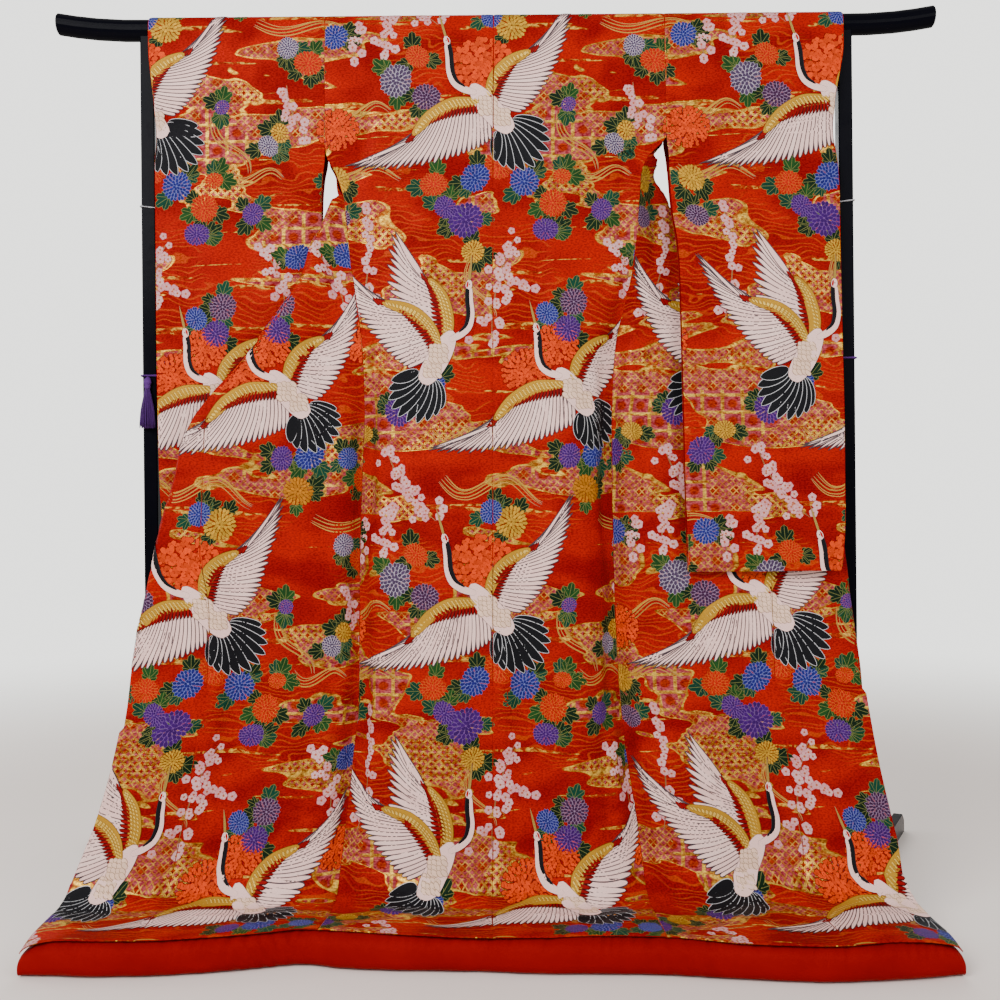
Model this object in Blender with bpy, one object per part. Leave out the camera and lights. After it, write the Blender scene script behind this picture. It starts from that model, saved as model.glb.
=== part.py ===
"""Uchikake wedding kimono hung by its sleeves on a lacquered stand, its back to -Y.

Metres, Z up, the floor at Z = 0. Every cloth piece is a wall of one thickness round a grid of
points. A grid's rows run along the cloth from the shoulder to the hem, its columns across the width.
Rows lie at the heights of ROWS while the cloth hangs, then at the steps of FLOOR where it lies down.
"""

import bpy
import numpy as np
from mathutils import Matrix

for old in list(bpy.data.objects):
    bpy.data.objects.remove(old, do_unlink=True)

ORIGIN_Y = -0.09185   # puts the middle of the whole depth at Y = 0
WALL = 0.0016        # brocade, wadding and lining together
COLLAR_WALL = 0.0030  # the collar is folded double
SEAM = 0.00015       # half of the gap between two pieces at a seam
BAR_Z = 1.670        # centre of the bar
BAR_R = 0.0200
CLOTH_R = 0.0222     # middle of the cloth's wall where it turns over the bar


def spline(x, xs, ys):
    """Value at x of a smooth curve through (xs, ys) that never overshoots: cubic pieces with limited slopes."""
    xs, ys = np.asarray(xs, float), np.asarray(ys, float)
    if xs[0] > xs[-1]:
        xs, ys = xs[::-1], ys[::-1]
    h, d = np.diff(xs), np.diff(ys) / np.diff(xs)
    m = np.zeros_like(ys)
    same = d[1:] * d[:-1] > 0
    w1, w2 = 2 * h[1:] + h[:-1], h[1:] + 2 * h[:-1]
    m[1:-1][same] = ((w1 + w2)[same]) / (w1[same] / d[:-1][same] + w2[same] / d[1:][same])
    m[0], m[-1] = d[0], d[-1]
    x = np.clip(x, xs[0], xs[-1])
    k = np.clip(np.searchsorted(xs, x) - 1, 0, len(h) - 1)
    t = (x - xs[k]) / h[k]
    return ((1 + 2 * t) * (1 - t) ** 2 * ys[k] + t * (1 - t) ** 2 * h[k] * m[k]
            + t * t * (3 - 2 * t) * ys[k + 1] + t * t * (t - 1) * h[k] * m[k + 1])


# ---------------------------------------------------------------- rows, from the bar to the hem
NEAR_TOP = (1.670, 1.620, 1.570, 1.510, 1.455, 1.420, 1.385, 1.345)
# more rows where each front turns from its armhole edge to its side seam, lower down on the left
FAR_TOP = {
    -1: (1.670, 1.645, 1.620, 1.612, 1.600, 1.575, 1.545, 1.510, 1.455, 1.420, 1.385, 1.372, 1.359, 1.345),
    1: (1.670, 1.645, 1.620, 1.612, 1.600, 1.575, 1.545, 1.510, 1.455, 1.446, 1.438, 1.429, 1.420, 1.385, 1.345),
}
SKIRT = (1.310, 1.260, 1.200, 1.140, 1.085, 1.030, 1.005, 0.9925, 0.980, 0.9675, 0.955, 0.930, 0.880, 0.820, 0.750, 0.680,
         0.600, 0.500, 0.400, 0.300, 0.200, 0.140)
# where the skirt lies on the floor: share of the way to the hem, height of the cloth
FLOOR = ((0.00, 0.100), (0.10, 0.076), (0.30, 0.062), (0.55, 0.0605), (0.80, 0.0620), (1.00, 0.0612))

# back panel, middle of the back: height, Y
BACK_Y = ((1.670, -0.0222), (1.620, -0.028), (1.570, -0.031), (1.510, -0.034), (1.455, -0.036),
          (1.420, -0.0375), (1.345, -0.042), (1.200, -0.050), (1.000, -0.060), (0.800, -0.070),
          (0.600, -0.079), (0.400, -0.089), (0.200, -0.098), (0.140, -0.102), (0.100, -0.110))
# centre back seam: height, X
BACK_X = ((1.670, -0.004), (1.345, -0.008), (0.800, -0.013), (0.100, -0.019), (0.000, -0.020))
# far side of the shoulders, where front and sleeve are joined: height, Y
FAR_Y = ((1.670, 0.0222), (1.645, 0.0245), (1.620, 0.0260), (1.600, 0.0270), (1.575, 0.0275),
         (1.545, 0.0265), (1.510, 0.0220), (1.455, 0.0160), (1.420, 0.0100))
ARMHOLE_X = {-1: 0.3195, 1: 0.3155}
NECK_Z, NECK_R, NECK_Y = 1.520, 0.100, 0.0280   # the neck edge is half a circle hung behind the bar

# side seam A, fold F of the turned-out front, and its return layer:
# height, A out, A y, F out, F y, fold radius, first heading (0 outward, 1 inward), return, slope, overlap width
LEFT = (
    (1.510, 0.3195, 0.0220, 0.3195, 0.0220, 0.008, 1.0, 0.2195, 0.027, 0.000),
    (1.455, 0.3195, 0.0160, 0.3195, 0.0160, 0.008, 1.0, 0.2195, 0.055, 0.000),
    (1.420, 0.3195, 0.0100, 0.3195, 0.0100, 0.008, 1.0, 0.2195, 0.075, 0.000),
    (1.385, 0.3020, -0.0140, 0.3020, -0.0140, 0.008, 0.5, 0.2090, 0.160, 0.008),
    (1.372, 0.2990, -0.0215, 0.2990, -0.0215, 0.008, 0.33, 0.2110, 0.190, 0.009),
    (1.359, 0.2940, -0.0305, 0.2940, -0.0305, 0.008, 0.15, 0.2120, 0.220, 0.010),
    (1.345, 0.2860, -0.0380, 0.3040, -0.0420, 0.008, 0.0, 0.2140, 0.240, 0.012),
    (1.310, 0.2820, -0.0390, 0.3270, -0.0520, 0.008, 0.0, 0.2340, 0.250, 0.020),
    (1.260, 0.2770, -0.0380, 0.3430, -0.0600, 0.008, 0.0, 0.2350, 0.310, 0.028),
    (1.200, 0.2700, -0.0370, 0.3600, -0.0640, 0.008, 0.0, 0.2270, 0.300, 0.036),
    (1.140, 0.2620, -0.0380, 0.3970, -0.0670, 0.008, 0.0, 0.2040, 0.200, 0.050),
    (1.085, 0.2545, -0.0390, 0.4335, -0.0700, 0.008, 0.0, 0.1800, 0.180, 0.066),
    (1.030, 0.2510, -0.0410, 0.4780, -0.0730, 0.008, 0.0, 0.1500, 0.150, 0.084),
    (0.980, 0.2510, -0.0430, 0.5240, -0.0760, 0.009, 0.0, 0.1210, 0.100, 0.101),
    (0.930, 0.2520, -0.0450, 0.5620, -0.0780, 0.009, 0.0, 0.1050, 0.080, 0.122),
    (0.880, 0.2545, -0.0470, 0.5830, -0.0800, 0.009, 0.0, 0.1000, 0.060, 0.135),
    (0.820, 0.2570, -0.0490, 0.5950, -0.0820, 0.009, 0.0, 0.0980, 0.050, 0.143),
    (0.750, 0.2600, -0.0520, 0.6140, -0.0840, 0.009, 0.0, 0.0860, 0.030, 0.147),
    (0.680, 0.2620, -0.0550, 0.6300, -0.0860, 0.009, 0.0, 0.0700, 0.020, 0.145),
    (0.600, 0.2630, -0.0580, 0.6520, -0.0870, 0.009, 0.0, 0.0340, 0.020, 0.145),
    (0.500, 0.2640, -0.0630, 0.6700, -0.0880, 0.009, 0.0, 0.0120, 0.020, 0.140),
    (0.400, 0.2660, -0.0680, 0.6870, -0.0900, 0.009, 0.0, 0.0030, 0.020, 0.141),
    (0.300, 0.2760, -0.0750, 0.7080, -0.0940, 0.009, 0.0, 0.0010, 0.000, 0.147),
    (0.200, 0.2870, -0.0830, 0.7370, -0.0990, 0.009, 0.0, 0.0010, 0.000, 0.160),
    (0.140, 0.2930, -0.0880, 0.7600, -0.1040, 0.009, 0.0, 0.0010, 0.000, 0.170),
    (0.100, 0.2980, -0.0960, 0.7750, -0.1120, 0.009, 0.0, 0.0010, 0.000, 0.178),
)
RIGHT = (
    (1.510, 0.3155, 0.0220, 0.3155, 0.0220, 0.008, 1.0, 0.2155, 0.027, 0.000),
    (1.455, 0.3155, 0.0160, 0.3155, 0.0160, 0.008, 1.0, 0.2155, 0.055, 0.000),
    (1.446, 0.3110, 0.0060, 0.3110, 0.0060, 0.008, 0.75, 0.2120, 0.090, 0.000),
    (1.438, 0.3045, -0.0050, 0.3045, -0.0050, 0.008, 0.5, 0.2110, 0.120, 0.000),
    (1.429, 0.2955, -0.0190, 0.2955, -0.0190, 0.008, 0.25, 0.2130, 0.160, 0.000),
    (1.420, 0.2845, -0.0300, 0.3005, -0.0290, 0.008, 0.0, 0.2175, 0.200, 0.000),
    (1.385, 0.2680, -0.0360, 0.3000, -0.0100, 0.008, 0.0, 0.2170, 0.080, 0.008),
    (1.345, 0.2640, -0.0370, 0.3220, 0.0040, 0.008, 0.0, 0.2340, 0.030, 0.012),
    (1.310, 0.2610, -0.0370, 0.3330, 0.0060, 0.008, 0.0, 0.2250, 0.030, 0.020),
    (1.260, 0.2575, -0.0370, 0.3500, 0.0060, 0.008, 0.0, 0.2200, 0.030, 0.028),
    (1.200, 0.2500, -0.0370, 0.3720, 0.0050, 0.008, 0.0, 0.2050, 0.030, 0.036),
    (1.140, 0.2360, -0.0380, 0.4050, 0.0030, 0.008, 0.0, 0.1750, 0.030, 0.050),
    (1.085, 0.2225, -0.0390, 0.4380, 0.0000, 0.008, 0.0, 0.1500, 0.030, 0.066),
    (1.030, 0.2160, -0.0410, 0.4700, -0.0030, 0.008, 0.0, 0.1300, 0.030, 0.084),
    (0.980, 0.2130, -0.0430, 0.5050, -0.0060, 0.008, 0.0, 0.1100, 0.030, 0.101),
    (0.930, 0.2110, -0.0450, 0.5400, -0.0100, 0.008, 0.0, 0.0900, 0.030, 0.122),
    (0.880, 0.2100, -0.0470, 0.5700, -0.0140, 0.008, 0.0, 0.0750, 0.020, 0.135),
    (0.820, 0.2100, -0.0490, 0.5980, -0.0190, 0.008, 0.0, 0.0600, 0.020, 0.148),
    (0.750, 0.2100, -0.0520, 0.6220, -0.0270, 0.008, 0.0, 0.0450, 0.010, 0.160),
    (0.680, 0.2110, -0.0550, 0.6410, -0.0360, 0.008, 0.0, 0.0320, 0.000, 0.162),
    (0.600, 0.2120, -0.0580, 0.6470, -0.0460, 0.008, 0.0, 0.0240, 0.000, 0.162),
    (0.500, 0.2150, -0.0630, 0.6580, -0.0570, 0.008, 0.0, 0.0120, 0.000, 0.160),
    (0.400, 0.2200, -0.0680, 0.6710, -0.0670, 0.008, 0.0, 0.0010, 0.000, 0.160),
    (0.300, 0.2310, -0.0750, 0.6860, -0.0770, 0.008, 0.0, 0.0010, 0.000, 0.165),
    (0.200, 0.2450, -0.0830, 0.7050, -0.0880, 0.008, 0.0, 0.0010, 0.000, 0.170),
    (0.140, 0.2520, -0.0880, 0.7160, -0.0960, 0.008, 0.0, 0.0010, 0.000, 0.174),
    (0.100, 0.2560, -0.0960, 0.7180, -0.1080, 0.008, 0.0, 0.0010, 0.000, 0.178),
)
FRONT = {-1: np.array(LEFT), 1: np.array(RIGHT)}
# on the floor: side seam out at the first and last row, front edge out at the first and last row
FLOOR_X = {-1: (0.298, 0.312, 0.775, 0.798), 1: (0.256, 0.268, 0.718, 0.744)}
# hem: X, Y of the seam on the roll, Y of the roll's foremost line
HEM = ((-0.800, -0.296, -0.300), (-0.740, -0.296, -0.308), (-0.660, -0.300, -0.314), (-0.590, -0.300, -0.312),
       (-0.500, -0.288, -0.302), (-0.400, -0.268, -0.280), (-0.340, -0.252, -0.268), (-0.270, -0.262, -0.286),
       (-0.170, -0.282, -0.298), (-0.040, -0.300, -0.306), (0.070, -0.302, -0.318), (0.130, -0.296, -0.320),
       (0.270, -0.304, -0.328), (0.330, -0.320, -0.338), (0.390, -0.338, -0.348), (0.530, -0.352, -0.364),
       (0.640, -0.336, -0.356), (0.700, -0.338, -0.346), (0.746, -0.324, -0.332))
HEM_ENDS = (-0.800, 0.746)
ROLL_DEEP = 0.070
ROLL_HIGH = 0.0585


def taper(x):
    """The hem roll thins toward its two corners: 1 along the hem, 0.5 at the very ends."""
    e = np.minimum(x - HEM_ENDS[0], HEM_ENDS[1] - x)
    return 0.50 + 0.50 * np.sqrt(np.clip(1 - (1 - np.clip(e / 0.070, 0, 1)) ** 2, 0, 1))


def at(table, z, column):
    table = np.asarray(table, float)
    return float(spline(np.array(z), table[:, 0], table[:, column]))


def hem_y(x):
    table = np.array(HEM)
    return spline(x, table[:, 0], table[:, 1])


def floor_points(x, y0, share, height):
    """Cloth lying down: from the bend at y0 forward to the hem seam, with low ridges along the hem."""
    y = y0 + share * (hem_y(x) - y0)
    hang = share * share * (1 - taper(x)) * 0.055
    ridge = 0.0035 * np.sin(3.14159 * share) * np.sin(31 * x + 2.2 * share)
    return np.stack([x, y, np.full_like(x, height) + ridge - hang], -1)


def back_row(side, z=None, step=None):
    """Dense line across half of the back, from the centre seam to the side: flat, with a soft valley at the side."""
    f = np.linspace(0, 1, 121)
    height = z if step is None else 0.100
    if height >= 1.420 or (side < 0 and height > 1.345):
        # free or armhole edge: height, X out
        edge = ((1.670, ARMHOLE_X[side]), (1.420, 0.3195), (1.385, 0.2985), (1.345, 0.2860))
        out = at(edge, height, 1) if side < 0 else at(((1.670, 0.3155), (1.455, 0.3155), (1.420, 0.2845)), height, 1)
        ay = at(BACK_Y, height, 1)
    else:
        out, ay = at(FRONT[side], height, 1), at(FRONT[side], height, 2)
    if side < 0 and height == 1.345:
        ay = at(FRONT[side], height, 2)
    if side > 0 and height == 1.420:
        ay = at(FRONT[side], height, 2)
    by = at(BACK_Y, height, 1)
    bx = at(BACK_X, height, 1)
    if step is not None:
        a0, a1, _, _ = FLOOR_X[side]
        out = a0 + (a1 - a0) * step[0]
    x = bx + (side * out - bx) * f
    g = np.clip((f - 0.55) / 0.45, 0, 1) ** 2
    g = g * (3 - 2 * np.clip((f - 0.55) / 0.45, 0, 1))
    low = np.clip((1.30 - height) / 0.9, 0, 1)
    wave = low * (0.007 * np.sin(3.14159 * f * 2.0) * np.sin(3.14159 * f)) * side
    y = by + (ay - by) * g + wave
    if step is not None:
        return floor_points(x, y, *step)
    return np.stack([x, y, np.full_like(x, height)], -1)


def front_row(side, z=None, step=None):
    """Dense line across front and overlap: side seam, outward to the fold, round it and back behind."""
    height = z if step is None else 0.100
    if step is None and height > 1.515:
        # behind the shoulders, between the armhole and the half-circle neck edge
        inner = np.sqrt(max(NECK_R ** 2 - (height - NECK_Z) ** 2, 0)) if height <= 1.62 else 0.0
        out, y0 = ARMHOLE_X[side], at(FAR_Y, height, 1)
        f = np.linspace(0, 1, 161)
        x = side * (out + (inner - out) * f)
        if height > 1.615:
            x = x + at(BACK_X, 1.67, 1) * f * (height > 1.63) + 0 * f
        y = y0 + (NECK_Y - y0) * f * np.clip((1.67 - height) / 0.05, 0, 1)
        return np.stack([x, y, np.full_like(x, height)], -1)
    table = FRONT[side]
    a, ay, fo, fy, r, head, back, slope = (at(table, height, c) for c in range(1, 9))
    if step is not None:
        a0, a1, e0, e1 = FLOOR_X[side]
        a, fo = a0 + (a1 - a0) * step[0], e0 + (e1 - e0) * step[0] ** 0.6
    run = max(fo - r - a, 0.0) if head < 0.01 else 0.0
    if back < 0.002:
        run = fo - a
    n = 141
    f = np.linspace(0, 1, n)
    # the right front bows back quickly to pass behind its sleeve, the left one forward in front of its own
    shape = np.sin(1.5708 * f) if side > 0 else f * f * (3 - 2 * f)
    low = np.clip((1.00 - height) / 0.7, 0, 1) * (0.8 if side < 0 else np.clip((0.60 - height) / 0.3, 0, 1))
    wave = low * (-0.010) * np.sin(3.14159 * f * 3.0) * np.sin(3.14159 * f)
    lay1 = np.stack([side * (a + run * f), ay + (fy - ay) * shape + wave], -1)
    pts = [lay1]
    if back >= 0.002:
        t = np.linspace(0, back, 121)[1:]
        start = 3.14159265 * head
        phi = np.minimum(start + t / r, 3.14159265)
        rest = np.maximum(t - (3.14159265 - start) * r, 0)
        ox = a + run + r * (np.sin(phi) - np.sin(start)) - rest
        oy = lay1[-1, 1] + r * (np.cos(start) - np.cos(phi)) + slope * rest
        turned = np.stack([side * ox, oy], -1)
        pts = [lay1, turned] if run > 0 else [lay1[:1], turned]
    line = np.concatenate(pts)
    if step is not None:
        return floor_points(line[:, 0], line[:, 1], *step)
    return np.concatenate([line, np.full((len(line), 1), height)], -1)


def along(line, where):
    """Points at the given distances along a dense line."""
    d = np.concatenate([[0], np.cumsum(np.linalg.norm(np.diff(line, axis=0), axis=1))])
    where = np.clip(where, 0, d[-1])
    return np.stack([np.interp(where, d, line[:, k]) for k in range(3)], -1), d[-1]


def columns(marks, counts, even):
    """Column distances between the marks (start, fold begins, fold ends, end), so many in each part, never
    bunched closer than a tenth of an even spacing; even = 1 spreads them evenly."""
    lo, hi, n = marks[0], marks[-1], sum(counts)
    s = [lo]
    for a, b, c in zip(marks[:-1], marks[1:], counts):
        s += list(a + (b - a) * np.arange(1, c + 1) / c)
    k = np.arange(n + 1)
    least = min(0.002, (hi - lo) / n * 0.5)
    s = np.clip(np.array(s), lo + k * least, hi - (n - k) * least)
    return s + (lo + (hi - lo) * k / n - s) * even


def turn_over(near, far, count=6):
    """Rows that carry the cloth over the bar, from the near row to the far one."""
    rows = []
    for k in range(1, count):
        q = k / count
        ang = 3.14159265 * q
        p = near + (far - near) * q
        p[:, 1] = -CLOTH_R * np.cos(ang)
        p[:, 2] = BAR_Z + CLOTH_R * np.sin(ang)
        rows.append(p)
    return rows


def normals(grid):
    du, dv = np.gradient(grid, axis=1), np.gradient(grid, axis=0)
    n = np.cross(du, dv)
    return n / np.maximum(np.linalg.norm(n, axis=-1, keepdims=True), 1e-12)


def piece(name, grid, wall=WALL):
    grid = np.array(grid, float)
    return {"name": name, "P": grid, "N": normals(grid), "move": np.zeros_like(grid), "wall": wall}


def seam(a, ra, ca, b, rb, cb):
    """Joins column ca of piece a to column cb of piece b over matching rows: one line, one normal, a narrow gap."""
    step = 1 if cb == 0 else -1
    pa, pb = a["P"][ra, ca], b["P"][rb, cb]
    p = (pa + pb) / 2
    inward = b["P"][rb, cb + step] - pb
    a["P"][ra, ca] = p
    b["P"][rb, cb] = p
    na, nb = a["N"][ra, ca], b["N"][rb, cb]
    sign = np.where((na * nb).sum(-1, keepdims=True) < 0, -1.0, 1.0)
    n = na + sign * nb
    n /= np.maximum(np.linalg.norm(n, axis=-1, keepdims=True), 1e-12)
    a["N"][ra, ca] = n
    b["N"][rb, cb] = sign * n
    s = np.gradient(p, axis=0)
    c = np.cross(s, n)
    c /= np.maximum(np.linalg.norm(c, axis=-1, keepdims=True), 1e-12)
    c *= np.where((c * inward).sum(-1, keepdims=True) < 0, -1.0, 1.0)
    # where the seam runs round a sharp fold the two edges stand a little further apart
    turn = 1 - (n[1:] * n[:-1]).sum(-1)
    turn = np.maximum(np.concatenate([turn, [0]]), np.concatenate([[0], turn]))[:, None]
    apart = c * SEAM * (1 + 1.4 * np.clip(turn, 0, 1.5))
    b["move"][rb, cb] += apart
    a["move"][ra, ca] -= apart


# finish: colour, roughness, metallic
FINISHES = {
    "brocade": ((0.58, 0.030, 0.012), 0.55, 0.15),
    "hem_silk": ((0.42, 0.004, 0.005), 0.60, 0.0),
    "lacquer": ((0.008, 0.008, 0.010), 0.18, 0.0),
    "silver_cord": ((0.62, 0.62, 0.60), 0.45, 0.3),
    "purple_silk": ((0.10, 0.02, 0.16), 0.60, 0.0),
}
FINISH_OF = {"body": "brocade", "okumi": "brocade", "sleeve": "brocade", "collar": "brocade", "fuki": "hem_silk",
             "bar": "lacquer", "post": "lacquer", "rail": "lacquer", "foot": "lacquer", "tie": "silver_cord",
             "cord": "purple_silk", "tassel": "purple_silk"}


def finish(slot):
    """The material of one finish, made once."""
    if slot in bpy.data.materials:
        return bpy.data.materials[slot]
    colour, rough, metal = FINISHES[slot]
    material = bpy.data.materials.new(slot)
    material.use_nodes = True
    shader = material.node_tree.nodes["Principled BSDF"]
    shader.inputs["Base Color"].default_value = (*colour, 1.0)
    shader.inputs["Roughness"].default_value = rough
    shader.inputs["Metallic"].default_value = metal
    return material


def mesh_object(name, points, faces):
    """One named object from points and faces, turned to face out, moved to the part's origin."""
    points = np.array(points, float)
    mesh = bpy.data.meshes.new(name)
    mesh.from_pydata([tuple(p) for p in points], [], [tuple(int(i) for i in f) for f in faces])
    mesh.update()
    tri = np.array([(f[0], f[k], f[k + 1]) for f in faces for k in range(1, len(f) - 1)])
    q = points[tri]
    if np.einsum("ij,ij->i", q[:, 0], np.cross(q[:, 1], q[:, 2])).sum() < 0:
        mesh.flip_normals()
    mesh.shade_smooth()
    mesh.set_sharp_from_angle(angle=0.7)
    mesh.materials.append(finish(FINISH_OF[name.split("_")[0]]))
    mesh.transform(Matrix.Translation((0.0, ORIGIN_Y, 0.0)))
    obj = bpy.data.objects.new(name, mesh)
    bpy.context.scene.collection.objects.link(obj)
    return obj


def close(item):
    """The closed wall round a piece's grid."""
    p = item["P"] + item["move"]
    n = item["N"] * item["wall"] / 2
    rows, cols = p.shape[:2]
    points = np.concatenate([(p + n).reshape(-1, 3), (p - n).reshape(-1, 3)])
    i = np.arange(rows * cols).reshape(rows, cols)
    j = i + rows * cols
    # both faces of the wall are split along the same diagonal, the shorter one of the wall's middle
    tri = []
    for r in range(rows - 1):
        for c in range(cols - 1):
            one = np.linalg.norm(p[r, c] - p[r + 1, c + 1]) <= np.linalg.norm(p[r, c + 1] - p[r + 1, c])
            for g in (i, j):
                q = (int(g[r, c]), int(g[r, c + 1]), int(g[r + 1, c + 1]), int(g[r + 1, c]))
                pair = [(q[0], q[1], q[2]), (q[0], q[2], q[3])] if one else [(q[0], q[1], q[3]), (q[1], q[2], q[3])]
                tri += pair if g is i else [t[::-1] for t in pair]
    ring = np.concatenate([i[0, :-1], i[:-1, -1], i[-1, :0:-1], i[:0:-1, 0]])
    for k in range(len(ring)):
        m = (k + 1) % len(ring)
        f = (int(ring[m]), int(ring[k]), int(ring[k]) + rows * cols, int(ring[m]) + rows * cols)
        # a quad on an edge is split by its place alone, so that both sides of a seam split alike
        u, v, w, x = (points[n] for n in f)
        if float((u + w - v - x) @ np.array([0.80, 0.53, 0.29])) > 0:
            tri += [(f[0], f[1], f[2]), (f[0], f[2], f[3])]
        else:
            tri += [(f[0], f[1], f[3]), (f[1], f[2], f[3])]
    return mesh_object(item["name"], points, tri)


# ---------------------------------------------------------------- body widths and overlaps
BACK_COLS, FRONT_COLS, OVER_COLS = 10, 10, 8
pieces = {}
for side, word in ((-1, "left"), (1, "right")):
    # columns run from the side (0) to the centre (last) on both back and front
    back = [back_row(side, z=z) for z in NEAR_TOP + SKIRT] + [back_row(side, step=s) for s in FLOOR]
    back_grid = []
    for line in back:
        total = along(line, [0])[1]
        back_grid.append(along(line, np.linspace(total, 0, BACK_COLS + 1))[0])
    front_z = [("z", z) for z in FAR_TOP[side] + SKIRT] + [("s", s) for s in FLOOR]
    front_grid, over_grid = [], []
    for kind, value in front_z:
        line = front_row(side, z=value) if kind == "z" else front_row(side, step=value)
        total = along(line, [0])[1]
        height = value if kind == "z" else 0.100
        table = FRONT[side]
        width, even = 0.0, 1.0
        if kind == "s" or height < 1.45:
            r = at(table, height, 5)
            width = at(table, height, 9) + (0.016 * value[0] if kind == "s" else 0.0) if height < 1.39 else 0.0
            straight = at(table, height, 3) - r - at(table, height, 1) > 0 and at(table, height, 6) < 0.01
            run = along(line[:141], [0])[1] if straight else 0.0
            bend = (1 - at(table, height, 6)) * 3.14159 * r
            even = 1.0 if kind == "s" or at(table, height, 6) > 0.99 else 0.0
        g = total - width
        if even == 1.0:
            s = np.linspace(0, g, FRONT_COLS + 1)
        else:
            s = columns((0, min(run, g), min(run + bend, g), g), (3, 3, 4), np.clip((0.95 - height) / 0.2, 0, 1))
        front_grid.append(along(line, s)[0])
        if width > 0:
            if even == 1.0:
                s = np.linspace(g, total, OVER_COLS + 1)
            else:
                s = columns((g, np.clip(run, g, total), np.clip(run + bend, g, total), total), (3, 3, 2),
                            np.clip((0.50 - height) / 0.2, 0, 1))
            over_grid.append(along(line, s)[0])
    rows = back_grid[::-1] + turn_over(back_grid[0], front_grid[0]) + front_grid
    pieces["body", side] = piece("body_" + word, rows)
    pieces["over", side] = piece("okumi_" + word, over_grid)

n_back = len(NEAR_TOP + SKIRT) + len(FLOOR)       # rows of the back, hem first
first_far = n_back + 5                             # the first row on the far side, at the bar
far_row = {side: {z: first_far + k for k, z in enumerate(FAR_TOP[side] + SKIRT)} for side in (-1, 1)}
near_row = {z: n_back - 1 - k for k, z in enumerate(NEAR_TOP + SKIRT)}
last_row = {side: first_far + len(FAR_TOP[side] + SKIRT) + len(FLOOR) - 1 for side in (-1, 1)}

# ---------------------------------------------------------------- sleeves
SLEEVE_COLS = 7
SLEEVE_FAR = (1.670, 1.645, 1.620, 1.612, 1.600, 1.575, 1.545, 1.510, 1.455, 1.420, 1.385, 1.345)
SLEEVE_LOW = (1.310, 1.260, 1.200, 1.085, 0.960, 0.840, 0.740, 0.680, 0.656, 0.644)
# height, inner edge out, outer edge out, near Y, far Y, Y where near and far meet at the outer edge
SLEEVE = {
    -1: ((1.670, 0.3195, 0.6500, -0.0222, 0.0222, 0.0), (1.620, 0.3195, 0.6480, -0.028, 0.0260, 0.0),
         (1.570, 0.3195, 0.6430, -0.031, 0.0270, 0.0), (1.510, 0.3195, 0.6360, -0.034, 0.0220, -0.012),
         (1.455, 0.3195, 0.6350, -0.036, 0.0160, -0.024), (1.420, 0.3195, 0.6380, -0.0365, 0.0100, -0.025),
         (1.385, 0.3240, 0.6385, -0.032, 0.0000, -0.025), (1.345, 0.3265, 0.6385, -0.029, -0.0070, -0.025),
         (1.310, 0.3270, 0.6385, -0.0275, -0.0110, -0.025), (1.085, 0.3340, 0.6385, -0.0265, -0.0120, -0.025),
         (0.840, 0.3400, 0.6360, -0.0280, -0.0120, -0.024), (0.740, 0.3430, 0.6310, -0.0290, -0.0130, -0.024),
         (0.680, 0.3450, 0.6270, -0.0290, -0.0150, -0.0235), (0.644, 0.3460, 0.6250, -0.0245, -0.0225, -0.0235)),
    1: ((1.670, 0.3155, 0.6500, -0.0222, 0.0222, 0.0), (1.620, 0.3155, 0.6480, -0.028, 0.0260, 0.0),
        (1.570, 0.3155, 0.6400, -0.031, 0.0270, 0.0), (1.510, 0.3155, 0.6290, -0.034, 0.0220, -0.012),
        (1.455, 0.3155, 0.6280, -0.036, 0.0160, -0.024), (1.420, 0.3190, 0.6330, -0.0365, 0.0080, -0.026),
        (1.385, 0.3210, 0.6370, -0.034, -0.0020, -0.027), (1.345, 0.3230, 0.6385, -0.033, -0.0080, -0.027),
        (1.310, 0.3260, 0.6385, -0.0345, -0.0120, -0.028), (1.260, 0.3340, 0.6385, -0.036, -0.0160, -0.029),
        (1.200, 0.3380, 0.6385, -0.039, -0.0200, -0.031), (1.085, 0.3395, 0.6385, -0.045, -0.0260, -0.037),
        (0.960, 0.3405, 0.6385, -0.052, -0.0335, -0.044), (0.840, 0.3410, 0.6370, -0.059, -0.0410, -0.051),
        (0.740, 0.3420, 0.6350, -0.066, -0.0480, -0.058), (0.680, 0.3430, 0.6300, -0.070, -0.0530, -0.063),
        (0.644, 0.3430, 0.6250, -0.0665, -0.0645, -0.0655)),
}
SLEEVE_BOTTOM = 0.644
WRIST_END = 1.455
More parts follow.
